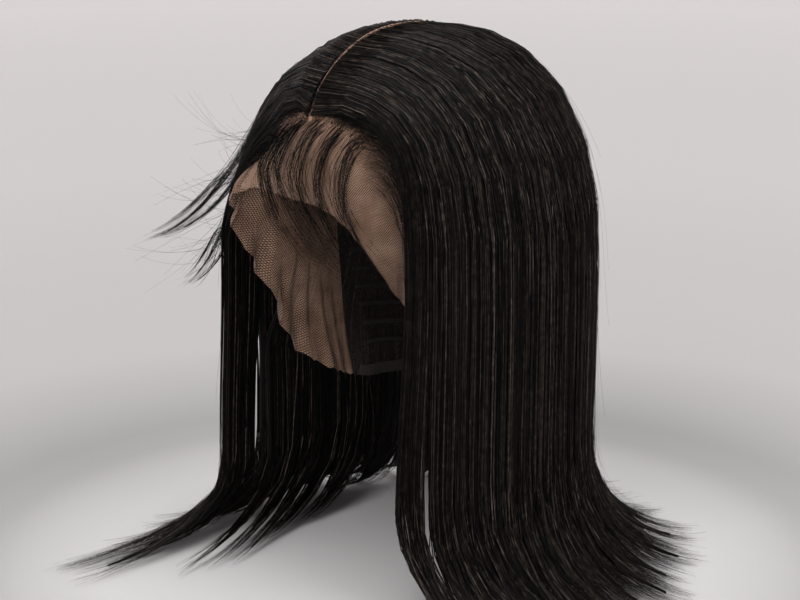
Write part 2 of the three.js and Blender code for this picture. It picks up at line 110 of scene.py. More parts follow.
def unit(v: Array) -> Array:
    """Each vector of an array, scaled to length 1."""
    return v / np.maximum(np.linalg.norm(v, axis=-1, keepdims=True), 1e-9)


def stack(*parts: Array | float) -> Array:
    """Points from their x, y and z, broadcast to one shape."""
    return np.stack(np.broadcast_arrays(*parts), axis=-1).astype(float)


# Meshes


def make_piece(name: str, points: Array, faces: Array) -> Piece:
    """Makes one smooth-shaded object from whole arrays.

    Args:
        name: the piece's name.
        points: n x 3 places in millimetres.
        faces: m x 4 corners, whose last is -1 in a triangle.

    Returns:
        The new object, at the origin, with metres in its mesh.
    """
    triangle = faces[:, 3] < 0
    corners = faces[~faces_blank(faces)]
    count = np.where(triangle, 3, 4)
    mesh = bpy.data.meshes.new(name)
    mesh.vertices.add(len(points))
    mesh.vertices.foreach_set("co", (points * MM).astype(np.float32).ravel())
    mesh.loops.add(len(corners))
    mesh.loops.foreach_set("vertex_index", corners.astype(np.int32))
    mesh.polygons.add(len(faces))
    mesh.polygons.foreach_set("loop_start", (np.cumsum(count) - count).astype(np.int32))
    mesh.polygons.foreach_set("use_smooth", np.full(len(faces), True))
    mesh.update(calc_edges=True)
    made = bpy.data.objects.new(name, mesh)
    bpy.context.scene.collection.objects.link(made)
    return made


def faces_blank(faces: Array) -> Array:
    """Marks the unused fourth corner of each triangle."""
    blank = np.zeros(faces.shape, bool)
    blank[:, 3] = faces[:, 3] < 0
    return blank


def corner_values(values: Array, faces: Array) -> Array:
    """Spreads a value for each point over the corners of the faces, in mesh order."""
    return values[faces[~faces_blank(faces)]]


def set_uv(piece: Piece, name: str, corner_uv: Array) -> None:
    """Writes one UV map from its corners."""
    layer = piece.data.uv_layers.new(name=name)
    layer.data.foreach_set("uv", corner_uv.astype(np.float32).ravel())


def set_value(piece: Piece, name: str, values: Array) -> None:
    """Writes one number for each point as an attribute that a material can read."""
    made = piece.data.attributes.new(name, "FLOAT", "POINT")
    made.data.foreach_set("value", values.astype(np.float32).ravel())


def tube_faces(tubes: int, stations: int, sides: int, flip: bool) -> Array:
    """Faces of closed tubes: quads round each stretch and a fan over each end.

    Args:
        tubes: how many tubes.
        stations: rings along each tube.
        sides: points round each ring, which runs counter-clockwise seen from its far end.
        flip: True where the rings run the other way.

    Returns:
        m x 4 corners, whose last is -1 in a triangle.
    """
    s, k = np.meshgrid(np.arange(stations - 1), np.arange(sides), indexing="ij")
    n = (k + 1) % sides
    near, far = s * sides, (s + 1) * sides
    walls = np.stack([near + k, near + n, far + n, far + k], -1).reshape(-1, 4)
    fan = np.stack([np.zeros(sides - 2, int), np.arange(1, sides - 1), np.arange(2, sides)], -1)
    ends = np.concatenate([fan[:, ::-1], fan + (stations - 1) * sides])
    ends = np.concatenate([ends, np.full((len(ends), 1), -1)], 1)
    if flip:
        walls, ends = walls[:, ::-1], ends[:, [2, 1, 0, 3]]
    one = np.concatenate([walls, ends])
    shift = (np.arange(tubes) * stations * sides)[:, None, None]
    return np.where(one[None] < 0, -1, one[None] + shift).reshape(-1, 4)


def sheet_faces(rows: int, columns: int) -> Array:
    """Quads between the points of a grid, which are numbered along its rows."""
    r, c = np.meshgrid(np.arange(rows - 1), np.arange(columns - 1), indexing="ij")
    a = r * columns + c
    return np.stack([a, a + columns, a + columns + 1, a + 1], -1).reshape(-1, 4)


def strand_piece(name: str, lines: "Strands", sides: int = 3) -> Piece:
    """Makes closed, tapered strands: a ring of a few points round each station of each line.

    A ring's points stand at equal angles, half the width to each side and half the depth out, so that its
    shading is a round hair's. Each strand has a cell of its own in the UV map named OFBake.

    Args:
        name: the piece's name.
        lines: the strands.
        sides: points round a strand.

    Returns:
        The piece.
    """
    points, out = lines.points, lines.out
    tubes, stations = points.shape[:2]
    ahead = unit(np.gradient(points, axis=1))
    up = unit(out - ahead * np.sum(out * ahead, -1, keepdims=True))
    across = np.cross(up, ahead)
    angle = np.pi / 2 + 2 * np.pi * np.arange(sides) / sides
    half = lines.width[..., None, None] / 2
    ring = points[:, :, None] + half * (
        np.cos(angle)[:, None] * across[:, :, None] + lines.flatness * np.sin(angle)[:, None] * up[:, :, None]
    )
    ring[..., 2] = np.maximum(ring[..., 2], lines.floor)
    faces = tube_faces(tubes, stations, sides, flip=False)
    made = make_piece(name, ring.reshape(-1, 3), faces)
    along = np.broadcast_to(np.linspace(0, 1, stations)[None, :, None], (tubes, stations, sides))
    set_value(made, "tint", np.broadcast_to(lines.tint[:, None, None], along.shape))
    side_share = np.broadcast_to(np.arange(sides) / sides, along.shape)
    cells = math.ceil(math.sqrt(tubes))
    order = np.arange(tubes)[:, None, None]
    u = (order % cells + 0.15 + 0.7 * side_share) / cells  # with a margin round each cell
    v = (order // cells + 0.06 + 0.88 * along) / cells
    set_uv(made, "OFBake", corner_values(np.stack([u, v], -1).reshape(-1, 2), faces))
    return made


@dataclass
class Strands:
    """Lines of hair.

    Points and outward directions are (n, stations, 3), widths (n, stations) and tints (n).
    """

    points: Array
    out: Array
    width: Array
    tint: Array
    flatness: float = 0.62  # depth of a strand, as a share of its width
    floor: float = -365.9  # no strand dips lower than this, a tenth of a millimetre over the table

    def part(self, chosen: Array) -> "Strands":
        """The chosen strands alone."""
        arrays = {name: getattr(self, name)[chosen] for name in ("points", "out", "width", "tint")}
        return replace(self, **arrays)


# Finishes


def linear(hex_colour: str) -> tuple[float, float, float, float]:
    """An sRGB hex colour as the linear values that a shader takes."""
    channels = [int(hex_colour[i : i + 2], 16) / 255 for i in (0, 2, 4)]
    return (*(c / 12.92 if c <= 0.04045 else ((c + 0.055) / 1.055) ** 2.4 for c in channels), 1.0)


def add_node(
    tree: Tree, kind: str, inputs: dict[str | int, object] | None = None, **settings: object
) -> bpy.types.Node:
    """Adds a node with its settings, and gives each named input its value or its link.

    Args:
        tree: the node tree.
        kind: the node's type.
        inputs: for each input, a value or another node's output socket.
        settings: the node's own options.

    Returns:
        The node.
    """
    made = tree.nodes.new(kind)
    for name, value in settings.items():
        setattr(made, name, value)
    for key, value in (inputs or {}).items():
        socket = made.inputs[key]
        if isinstance(value, Socket):
            tree.links.new(value, socket)
        else:
            socket.default_value = value
    return made


def new_material(name: str) -> tuple[Finish, Tree]:
    """An empty material with its node tree."""
    material = bpy.data.materials.new(name)
    material.use_nodes = True
    material.node_tree.nodes.clear()
    return material, material.node_tree


def shaded(material: Finish, inputs: dict[str | int, object]) -> Finish:
    """Ends a material with one principled shader that has the given inputs."""
    tree = material.node_tree
    output = tree.nodes.new("ShaderNodeOutputMaterial")
    shader = add_node(tree, "ShaderNodeBsdfPrincipled", inputs)
    tree.links.new(shader.outputs["BSDF"], output.inputs["Surface"])
    return material


def object_place(tree: Tree) -> Socket:
    """The place of a point on its piece, in metres."""
    return add_node(tree, "ShaderNodeTexCoord").outputs["Object"]


def map_place(tree: Tree, name: str) -> Socket:
    """The place of a point on one of its piece's UV maps, in millimetres."""
    return add_node(tree, "ShaderNodeUVMap", uv_map=name).outputs["UV"]


def number(tree: Tree, operation: str, *values: object) -> Socket:
    """The result of an operation on numbers."""
    return add_node(tree, "ShaderNodeMath", dict(enumerate(values)), operation=operation).outputs[0]


def vector(tree: Tree, operation: str, *values: object) -> Socket:
    """The result of an operation on vectors, which a dot product and a length give as a number."""
    made = add_node(tree, "ShaderNodeVectorMath", dict(enumerate(values)), operation=operation)
    return made.outputs["Value" if operation in ("DOT_PRODUCT", "LENGTH") else "Vector"]


def noise(tree: Tree, place: Socket, scale: float, detail: float, rough: float = 0.5) -> Socket:
    """Noise from 0 to 1 over a place."""
    inputs = {"Vector": place, "Scale": scale, "Detail": detail, "Roughness": rough}
    return add_node(tree, "ShaderNodeTexNoise", inputs).outputs["Fac"]


def mapped(tree: Tree, value: Socket, source: tuple[float, float], target: tuple[float, float]) -> Socket:
    """A number carried from one range to another, and kept inside it."""
    ends = dict(zip(("From Min", "From Max", "To Min", "To Max"), source + target))
    return add_node(tree, "ShaderNodeMapRange", {"Value": value} | ends).outputs["Result"]


def bumped(tree: Tree, height: Socket, strength: float, distance: float) -> Socket:
    """A normal from a height, whose full range stands for a distance in metres."""
    inputs = {"Height": height, "Strength": strength, "Distance": distance}
    return add_node(tree, "ShaderNodeBump", inputs).outputs["Normal"]


def ramp(tree: Tree, value: Socket, stops: tuple[tuple[float, str], ...]) -> Socket:
    """A colour from a value, through stops of place and sRGB colour."""
    made = add_node(tree, "ShaderNodeValToRGB", {"Fac": value})
    elements = made.color_ramp.elements
    while len(elements) < len(stops):
        elements.new(0.5)
    for element, (place, colour) in zip(elements, stops):
        element.position = place
        element.color = linear(colour)
    return made.outputs["Color"]


class HairForm(Enum):
    """What a hair finish is painted on."""

    STRANDS = "strands"
    LOCKS = "locks"


@dataclass(frozen=True)
class HumanHair:
    """Human hair, dyed off-black and ironed straight.

    Its cuticles lie one way, so it gives broad soft bands of light across the strands, and single hairs of
    brown show where light comes through. The light end of its ramp is partly the hair's own browner strands
    and partly painted highlight, and the glints along a strand are painted highlights.
    """

    name: str
    form: HairForm
    # the lighter stops are partly the hair's own browner strands and partly painted highlight
    stops: tuple[tuple[float, str], ...] = (
        (0.0, "000000"),
        (0.3, "080605"),
        (0.55, "1f1915"),
        (0.8, "473e38"),
        (1.0, "786d65"),
    )
    roughness: float = 0.42
    ior: float = 1.55  # keratin
    gloss: float = 0.11  # a share of keratin's mirror light, since hair hides half its own surface
    glint: float = 0.12  # how far the painted glints lift or lower the tint along a strand
    glint_scale: float = 260.0
    streak_width: float = 0.9  # millimetres: a few hairs of 0.08 mm side by side
    streak_length: float = 70.0
    streak_tint: float = 0.36  # lightest tint of a lock's body: painted shade, darker than the strands over it

    def strand_tint(self, tree: Tree) -> Socket:
        """The tint that a strand was given, which strays a little along it with a fine noise of painted
        glints.
        """
        given = add_node(tree, "ShaderNodeAttribute", attribute_name="tint").outputs["Fac"]
        fine = noise(tree, object_place(tree), self.glint_scale, 1.0)
        return number(tree, "ADD", given, mapped(tree, fine, (0.3, 0.7), (-self.glint, self.glint)))

    def streaks(self, tree: Tree) -> tuple[Socket, Socket]:
        """Tint and height of a lock's body: noise drawn out along the hair, on the piece's Flow map.

        Its tint is kept dark as painted shade under the strands.
        """
        size = (1 / self.streak_width, 1 / self.streak_length, 1)
        scaled = vector(tree, "MULTIPLY", map_place(tree, "Flow"), size)
        height = noise(tree, scaled, 1.0, 3.0, rough=0.6)
        return mapped(tree, height, (0.35, 0.8), (0.0, self.streak_tint)), height

    def make(self) -> Finish:
        """Builds the material: a tint for each strand, or streaks along the surface, and a soft gloss.

        The strands' tints hold painted highlights and glints, and the locks' streaks are kept dark as painted
        shade.
        """
        material, tree = new_material(self.name)
        if self.form is HairForm.STRANDS:
            tint, height = self.strand_tint(tree), None
        else:
            tint, height = self.streaks(tree)
        patch = noise(tree, object_place(tree), 38.0, 2.0)
        inputs = {
            "Base Color": ramp(tree, tint, self.stops),
            "Roughness": mapped(tree, patch, (0.0, 1.0), (self.roughness - 0.05, self.roughness + 0.07)),
            "IOR": self.ior,
            "Specular IOR Level": self.gloss,
        }
        if height is not None:
            inputs["Normal"] = bumped(tree, height, 0.6, 0.0006)
        return shaded(material, inputs)


@dataclass(frozen=True)
class HexNet:
    """Net knitted of one fine yarn in hexagonal cells: sheer, dull, and denser where it is seen aslant."""

    name: str
    yarn: str
    shade: str
    cell: float  # millimetres from one side of a cell to the other
    thread: float  # share of a cell that its threads take
    film: float = 0.0  # how much of the light between the threads the finest fibres still stop
    soft: float = 0.05  # how gradually a thread begins, as a share of a cell
    roughness: float = 0.75
    gloss: float = 0.25  # mirror light, and the sheen of loose fibres

    def make(self) -> Finish:
        """Builds the material: threads where a point is near its hexagon's side, and air between.

        A point's nearest hexagon centre is the nearer of two rectangular lattices, 1 by sqrt 3, set half a
        cell apart. How near it is to a side is the larger of its distance along x and along 60 degrees.
        """
        material, tree = new_material(self.name)
        place = vector(tree, "MULTIPLY", map_place(tree, "Cloth"), (1 / self.cell,) * 3)
        half = (0.5, math.sqrt(3) / 2, 1.0)
        low = tuple(-h for h in half)
        aslant = (*half[:2], 0)
        moved = vector(tree, "SUBTRACT", place, aslant)
        a, b = (vector(tree, "WRAP", v, half, low) for v in (place, moved))
        far_a, far_b = (vector(tree, "DOT_PRODUCT", v, v) for v in (a, b))
        nearer = number(tree, "LESS_THAN", far_b, far_a)
        centre = add_node(tree, "ShaderNodeMix", {0: nearer, 4: a, 5: b}, data_type="VECTOR").outputs[1]
        folded = vector(tree, "ABSOLUTE", centre)
        straight = add_node(tree, "ShaderNodeSeparateXYZ", {0: folded}).outputs["X"]
        reach = number(tree, "MAXIMUM", vector(tree, "DOT_PRODUCT", folded, aslant), straight)
        edge = 0.5 - self.thread / 2
        yarn = mapped(tree, reach, (edge - self.soft, edge + self.soft), (self.film, 1.0))
        patch = noise(tree, object_place(tree), 60.0, 3.0)
        inputs = {
            "Base Color": ramp(tree, patch, ((0.3, self.shade), (0.7, self.yarn))),
            "Roughness": self.roughness,
            "Alpha": yarn,
            "Specular IOR Level": self.gloss,
            "Sheen Weight": self.gloss,
        }
        return shaded(material, inputs)


@dataclass(frozen=True)
class WovenTape:
    """Elastic and seam tape, woven of matt yarn in fine ribs, each of which catches a little light.

    The valleys between the ribs are darker, as painted shade.
    """

    name: str
    yarn: str
    rib: float = 1.2  # real ribs are 0.6 mm, drawn at twice that so that they show
    valley: float = 0.55  # painted shade: colour between two ribs, as a share of the yarn's

    def make(self) -> Finish:
        """Builds the material: ribs from a wave along the tape, in bump and in colour, darker between them as
        painted shade.
        """
        material, tree = new_material(self.name)
        inputs = {
            "Vector": map_place(tree, "Flow"),
            "Scale": 1 / (self.rib * 3.2),
            "Distortion": 0.6,
            "Detail": 1.0,
        }
        wave = add_node(tree, "ShaderNodeTexWave", inputs, bands_direction="Y").outputs["Fac"]
        # painted shade: the yarn darkened for the valleys between ribs
        dark = "".join(f"{int(int(self.yarn[i : i + 2], 16) * self.valley):02x}" for i in (0, 2, 4))
        colour = ramp(tree, wave, ((0.1, dark), (0.9, self.yarn)))
        normal = bumped(tree, wave, 0.5, 0.0004)
        return shaded(material, {"Base Color": colour, "Roughness": 0.85, "Normal": normal})


@dataclass(frozen=True)
class BleachedKnots:
    """The first knots of the hairline, bleached to the skin's tan so that they don't show as dots."""

    light: str = "b9957c"
    dark: str = "7d5a45"

    def make(self) -> Finish:
        """Builds the material: a tan that varies from knot to knot."""
        material, tree = new_material("bleached_knots")
        patch = noise(tree, object_place(tree), 300.0, 1.0)
        colour = ramp(tree, patch, ((0.35, self.dark), (0.65, self.light)))
        return shaded(material, {"Base Color": colour, "Roughness": 0.6})


@dataclass(frozen=True)
class StudioPaper:
    """Seamless paper, matt and pale, with a painted shadow as a greyer ring round the object and a faint
    painted glow of light further off.
    """

    stops: tuple[tuple[float, str], ...] = (  # share of the reach, colour; the grey dip near the middle is a painted shadow ring
        (0.0, "dad8d8"),
        (0.07, "cecccc"),
        (0.088, "bcbaba"),
        (0.1, "a7a5a5"),
        (0.115, "a2a0a0"),
        (0.14, "afadad"),
        (0.18, "bebbbb"),
        (0.3, "c5c2c2"),
        (0.45, "cfcbcb"),
        (1.0, "dbd7d7"),
    )
    reach: float = 3.0
    glow_from: float = 0.8
    glow: float = 0.26

    def make(self) -> Finish:
        """Builds the material: a colour and a faint glow, each from the distance to the middle.

        The greyer ring in the colour is a painted shadow, and the glow is painted light.
        """
        material, tree = new_material("seamless_paper")
        flat = vector(tree, "MULTIPLY", object_place(tree), (1, 1, 0))
        far = vector(tree, "LENGTH", flat)
        colour = ramp(tree, mapped(tree, far, (0.0, self.reach), (0.0, 1.0)), self.stops)
        glow = mapped(tree, far, (self.glow_from, self.reach), (0.0, self.glow))
        inputs = {"Base Color": colour, "Roughness": 0.9}
        # painted light: the paper glows faintly further off, as though lit
        return shaded(material, inputs | {"Emission Color": colour, "Emission Strength": glow})


# The cap's form


@dataclass(frozen=True)
class CapForm:
    """The lace cap's surface: a superellipsoid crown, a wall that tucks in at the nape and a loose margin."""

    half_width: float = 78
    front: float = 101
    back: float = 100
    crown: float = 112
    roundness: float = 2.25
    nape_drop: float = 250
    nape_tuck: float = 26
    wall: float = 1.2
    temple_flare: float = 32
    fold_depth: float = 7
    edge: Table = Table(
        ("bearing", "drop", "flare"),
        (
            (-180, 1.0, 0),
            (-150, 1.0, 0),
            (-125, 1.0, 0),
            (-105, 1.0, 0.12),
            (-84, 0.96, 0.48),
            (-72, 0.87, 0.72),
            (-62, 0.67, 0.92),
            (-50, 0.45, 1.0),
            (-38, 0.4, 0.35),
            (-24, 0.385, 0),
            (7, 0.386, 0),
            (18, 0.42, 0),
            (28, 0.5, 0),
            (41, 0.63, 0),
            (54, 0.71, 0),
            (74, 0.75, 0),
            (98, 0.82, 0),
            (122, 0.95, 0),
            (150, 1.0, 0),
            (180, 1.0, 0),
        ),
    )
    folds: tuple[tuple[float, float, float], ...] = (  # bearing, span, out
        (-36, 6, 0.8),
        (-45, 5, -0.7),
        (-66, 5, -0.9),
        (-76, 5, 0.6),
        (-88, 6, -0.7),
        (-101, 7, 0.5),
    )

    def radius(self, bearing: Array, grow: Array | float) -> Array:
        """Plan radius at the widest level: an ellipse, longer to the face than to the sides."""
        long = np.where(np.cos(bearing) > 0, self.front, self.back) + grow
        return 1 / np.hypot(np.sin(bearing) / (self.half_width + grow), np.cos(bearing) / long)

    def drop(self, bearing: Array) -> Array:
        """How far the cap's edge hangs below the crown at a bearing in radians."""
        return self.edge.read("drop", np.degrees(bearing)) * self.nape_drop

    def point(self, bearing: Array, z: Array, grow: float, ruffle: float = 0.0) -> Array:
        """Points of the cap at bearings in radians and heights.

        Above the widest level the radius follows a superellipse in height. Below it the nape tucks in with
        the square of the depth. Near the edge the loose margin flares, with bell-shaped folds on it.

        Args:
            bearing: radians.
            z: height, 0 at the crown.
            grow: distance outside the inner face.
            ruffle: height of finer ripples in the loose margin.

        Returns:
            The points.
        """
        degrees = np.degrees(bearing)
        depth, crown = grow - z, self.crown + grow
        full = self.radius(bearing, grow)
        level = np.clip(1 - depth / crown, 0, 1)
        high = full * np.clip(1 - level**self.roundness, 0, 1) ** (1 / self.roundness)
        low = full - self.nape_tuck * (np.maximum(depth - crown, 0) / (self.nape_drop - self.crown)) ** 2
        radius = np.where(depth < crown, high, low)
        loose = smooth((-z / self.drop(bearing) - 0.62) / 0.38)
        flare = self.edge.read("flare", degrees)
        radius = radius + self.temple_flare * flare * loose
        for middle, span, out in self.folds:
            radius = radius + self.fold_depth * out * np.exp(-(((degrees - middle) / span) ** 2)) * loose**1.5
        if ruffle:
            ripple = np.sin(degrees * 0.92 + 3 * loose) + 0.6 * np.sin(degrees * 1.71 + 1.3)
            radius = radius + ruffle * ripple * loose**1.2 * (0.25 + smooth(flare * 1.4))
        return stack(np.sin(bearing) * radius, -np.cos(bearing) * radius, z)

    def top_at(self, y: Array) -> Array:
        """Height of the outer face over the midline, from the same superellipse."""
        share = np.minimum(0.97, np.abs(y) / (np.where(y < 0, self.front, self.back) + self.wall))
        crown = self.crown + self.wall
        return self.wall - crown * (1 - (1 - share**self.roundness) ** (1 / self.roundness))

    def clear(self, points: Array, clearance: Array) -> Array:
        """Points moved straight out from the cap's middle until they clear it."""
        grow = self.wall + clearance
        above = np.maximum(0, points[..., 2] + self.crown)
        x, y = points[..., 0], points[..., 1]
        level = np.hypot(x, y) / self.radius(np.arctan2(x, -y), grow)
        rise = above / (self.crown + grow)
        share = (level**self.roundness + rise**self.roundness) ** (1 / self.roundness)
        share = np.where((share >= 1) | (above == 0), 1, np.maximum(share, 1e-6))
        return stack(x / share, y / share, np.where(share < 1, above / share - self.crown, points[..., 2]))


CAP = CapForm()

# The hair's form

# Guide strands, from the face edge (at 0) round to the back (at 1). Each has its root's place on the parting,
# its place at the rim and at the bend as shares of the hair's half width and half length, the roundness of
# its shoulder, its share of the bend's height, the way it sweeps and how far.
GUIDES = ("at", "along", "wide", "deep", "low_wide", "low_deep", "round", "bend", "bearing", "reach")
LEFT_GUIDES = Table(
    GUIDES,
    (
        (0.0, 0.0, 0.61, -0.56, 0.6, -0.62, 3.4, 0.8, 86, 1.1),
        (0.12, 0.1, 0.8, -0.43, 0.81, -0.46, 2.8, 0.85, 84, 1.12),
        (0.3, 0.28, 0.97, -0.17, 0.98, -0.19, 2.5, 0.9, 86, 1.1),
        (0.5, 0.48, 1.02, 0.18, 1.03, 0.17, 2.4, 1, 93, 1.02),
        (0.68, 0.68, 0.93, 0.52, 0.93, 0.51, 2.35, 1, 110, 1.0),
        (0.84, 0.85, 0.6, 0.86, 0.6, 0.85, 2.3, 1, 138, 0.95),
        (1.0, 1.0, 0.02, 1.0, 0.02, 0.98, 2.2, 1, 178, 0.9),
    ),
)
RIGHT_GUIDES = Table(
    GUIDES,
    (
        (0.0, 0.0, 1.0, -0.45, 1.02, -0.48, 1.55, 0.62, 2, 1.68),
        (0.12, 0.12, 1.04, -0.22, 1.05, -0.25, 2.4, 0.65, 14, 1.3),
        (0.3, 0.3, 1.03, 0.06, 1.03, 0.04, 2.3, 0.7, 27, 1.05),
        (0.5, 0.5, 0.97, 0.36, 0.97, 0.34, 2.2, 0.8, 52, 0.9),
        (0.68, 0.69, 0.8, 0.65, 0.8, 0.64, 2.25, 0.9, 92, 0.85),
        (0.84, 0.85, 0.5, 0.89, 0.5, 0.88, 2.2, 1, 136, 0.88),
        (1.0, 1.0, 0.02, 1.0, 0.02, 0.98, 2.2, 1, 178, 0.9),
    ),
)
AT_RIM = 0.42  # share of a strand's run at which it passes the hair's widest level
AT_BEND = 0.68  # and at which it begins to sweep out
LOCK_PROFILE = Table(
    ("at", "thick", "wide"),
    (
        (0.0, 0.625, 1),
        (0.12, 0.75, 1),
        (0.42, 1, 1),
        (AT_BEND, 0.95, 1),
        (0.84, 0.8, 0.84),
        (0.93, 0.6, 0.54),
        (1.0, 0.375, 0.08),
    ),
)


@dataclass(frozen=True)
class HairSizes:
    """Sizes that both layers of hair share."""

    parting_start: float = -87
    parting_end: float = 48
    parting_width: float = 3
    half_width: float = 117
    half_length: float = 134
    rim_drop: float = 148
    table_drop: float = 366
    bend_drop: float = 78
    tip_reach: float = 86
    curtain: float = 8
    under: float = 5
    tip: float = 3
    seat: float = 1.8
    under_seat: float = 0.4
    under_share: float = 0.9
    under_root: float = 152
    locks: int = 14
    front_dip: float = 4.2  # how much lower the roots stand at the parting's front end
    hairline_run: float = 0.3  # share of a strand's run over which the hairline's knots are spread
    hairline_under: float = 5.5  # how far they lie under the curtain's edge
    side_span: float = 620  # round one side at the tips
    strand_length: float = 480  # from the parting to a tip, on average


HAIR = HairSizes()


@dataclass(frozen=True)
class OuterSurface:
    """The outer hair of one side: strands from the parting over the cap, down, and out at the ends."""

    guides: Table
    side: int

    def point(self, at: Array, run: Array, reach: Array | float = 1.0, turn: Array | float = 0.0) -> Array:
        """Points of the surface.

        From the root to the rim a strand is a quarter of a superellipse, then nearly straight, and from the
        bend on a quarter ellipse that sweeps out to its bearing.

        Args:
            at: place round the side, from 0 at the face edge to 1 at the back.
            run: share of the strand's length.
            reach: factor on how far the ends sweep.
            turn: degrees added to the way they sweep.

        Returns:
            The points, clear of the cap.
        """
        at, run = np.broadcast_arrays(at, run)
        read = lambda key: self.guides.read(key, at)
        clearance = HAIR.seat + HAIR.curtain * LOCK_PROFILE.read("thick", run)
        root_y = HAIR.parting_start + (HAIR.parting_end - HAIR.parting_start) * read("along")
        least = HAIR.parting_width / 2
        root = stack(least, root_y, CAP.top_at(root_y) + clearance)
        rim_x = np.maximum(read("wide") * HAIR.half_width, least)
        rim = stack(rim_x, read("deep") * HAIR.half_length, -HAIR.rim_drop)
        bend = HAIR.bend_drop * read("bend")
        low = stack(
            np.maximum(read("low_wide") * HAIR.half_width, least),
            read("low_deep") * HAIR.half_length,
            -HAIR.table_drop + HAIR.tip + bend,
        )
        first = np.clip(run / AT_RIM, 0, 1) * np.pi / 2
        power = 2 / read("round")
        over = (np.sin(first) ** power)[..., None]
        dome = root + (rim - root) * over
        dome[..., 2] = rim[..., 2] + (root[..., 2] - rim[..., 2]) * np.clip(np.cos(first), 0, 1) ** power
        share = (run - AT_RIM) / (AT_BEND - AT_RIM)
        hang = rim + (low - rim) * smooth(share)[..., None]
        hang[..., 2] = rim[..., 2] + (low[..., 2] - rim[..., 2]) * share
        last = np.clip((run - AT_BEND) / (1 - AT_BEND), 0, 1) * np.pi / 2
        out = read("reach") * reach * HAIR.tip_reach * (1 - np.cos(last))
        way = np.radians(read("bearing") + turn)
        sweep = low + stack(np.sin(way) * out, -np.cos(way) * out, -bend * np.sin(last))
        points = np.where((run < AT_RIM)[..., None], dome, np.where((run < AT_BEND)[..., None], hang, sweep))
        points = CAP.clear(points, clearance)
        points[..., 0] *= self.side
        return points


@dataclass(frozen=True)
class UnderSurface:
    """The lower rows of one side: they leave the cap under the rim and hang inside the outer hair."""

    guides: Table
    side: int

    def point(
        self, at: Array, run: Array, reach: Array | float = 0.8, bearing: Array | float = 90.0
    ) -> Array:
        """Points of the surface: a root on the cap, a drop that eases outwards and a quarter-ellipse sweep.

        Args:
            at: place round the side.
            run: share of the strand's length.
            reach: how far the ends sweep, as a share of the full reach.
            bearing: the way they sweep, in degrees.

        Returns:
            The points.
        """
        at, run = np.broadcast_arrays(at, run)
        read = lambda key: self.guides.read(key, at)
        wide = np.maximum(HAIR.under_share * read("low_wide") * HAIR.half_width, HAIR.parting_width / 2)
        deep = HAIR.under_share * read("low_deep") * HAIR.half_length
        grow = CAP.wall + HAIR.under + HAIR.under_seat
        root = CAP.point(np.arctan2(self.side * wide, -deep), np.full(at.shape, -HAIR.under_root), grow)
        root[..., 0] *= self.side
        bend = HAIR.bend_drop * read("bend")
        low_z = -HAIR.table_drop + HAIR.under * HAIR.tip / HAIR.curtain + bend
        share = run / AT_BEND
        hang = stack(wide, deep, 0)
        fall = root + (hang - root) * smooth(share * 2)[..., None]
        fall[..., 2] = root[..., 2] + (low_z - root[..., 2]) * share
        last = np.clip((run - AT_BEND) / (1 - AT_BEND), 0, 1) * np.pi / 2
        out = reach * HAIR.tip_reach * (1 - np.cos(last))
        way = np.radians(bearing)
        sweep = stack(wide + np.sin(way) * out, deep - np.cos(way) * out, low_z - bend * np.sin(last))
        points = np.where((run < AT_BEND)[..., None], fall, sweep)
        points[..., 0] *= self.side
        return points


def column_draws(rng: np.random.Generator, count: int) -> Callable[[float, float], Array]:
    """A function that draws a column of random numbers from a range, one for each strand."""
    return lambda low, high: rng.uniform(low, high, count)[:, None]


def outward(point: Callable[[Array, Array], Array], side: int, at: Array, run: Array) -> Array:
    """Outward directions of a hair surface: the cross product of its two small steps."""
    step = 0.004
    a0, a1 = np.clip(at - step, 0, 1), np.clip(at + step, 0, 1)
    r0, r1 = np.clip(run - step, 0, 1), np.clip(run + step, 0, 1)
    across = point(a1, run) - point(a0, run)
    along = point(at, r1) - point(at, r0)
    return unit(np.cross(across, along) * -side)


# Hair in locks and strands


@dataclass(frozen=True)
class Slit:
    """A gap of air in a curtain: its middle and half width round the side, and where it opens and closes."""

    middle: float
    half: float
    opens: float
    closes: float
    ease: float = 0.12  # share of a run over which it opens or closes
    fade: float = 4.0  # how many half widths away the hair is still moved aside

    def aside(self, at: Array, run: Array) -> Array:
        """Places moved away from the slit by a bell of their distance from it, where the slit is open."""
        away = at - self.middle
        share = smooth((run - self.opens) / self.ease) * smooth((self.closes - run) / self.ease)
        bell = np.exp(-((away / (self.fade * self.half)) ** 2))
        return at + np.where(away >= 0, 1, -1) * self.half * share * bell


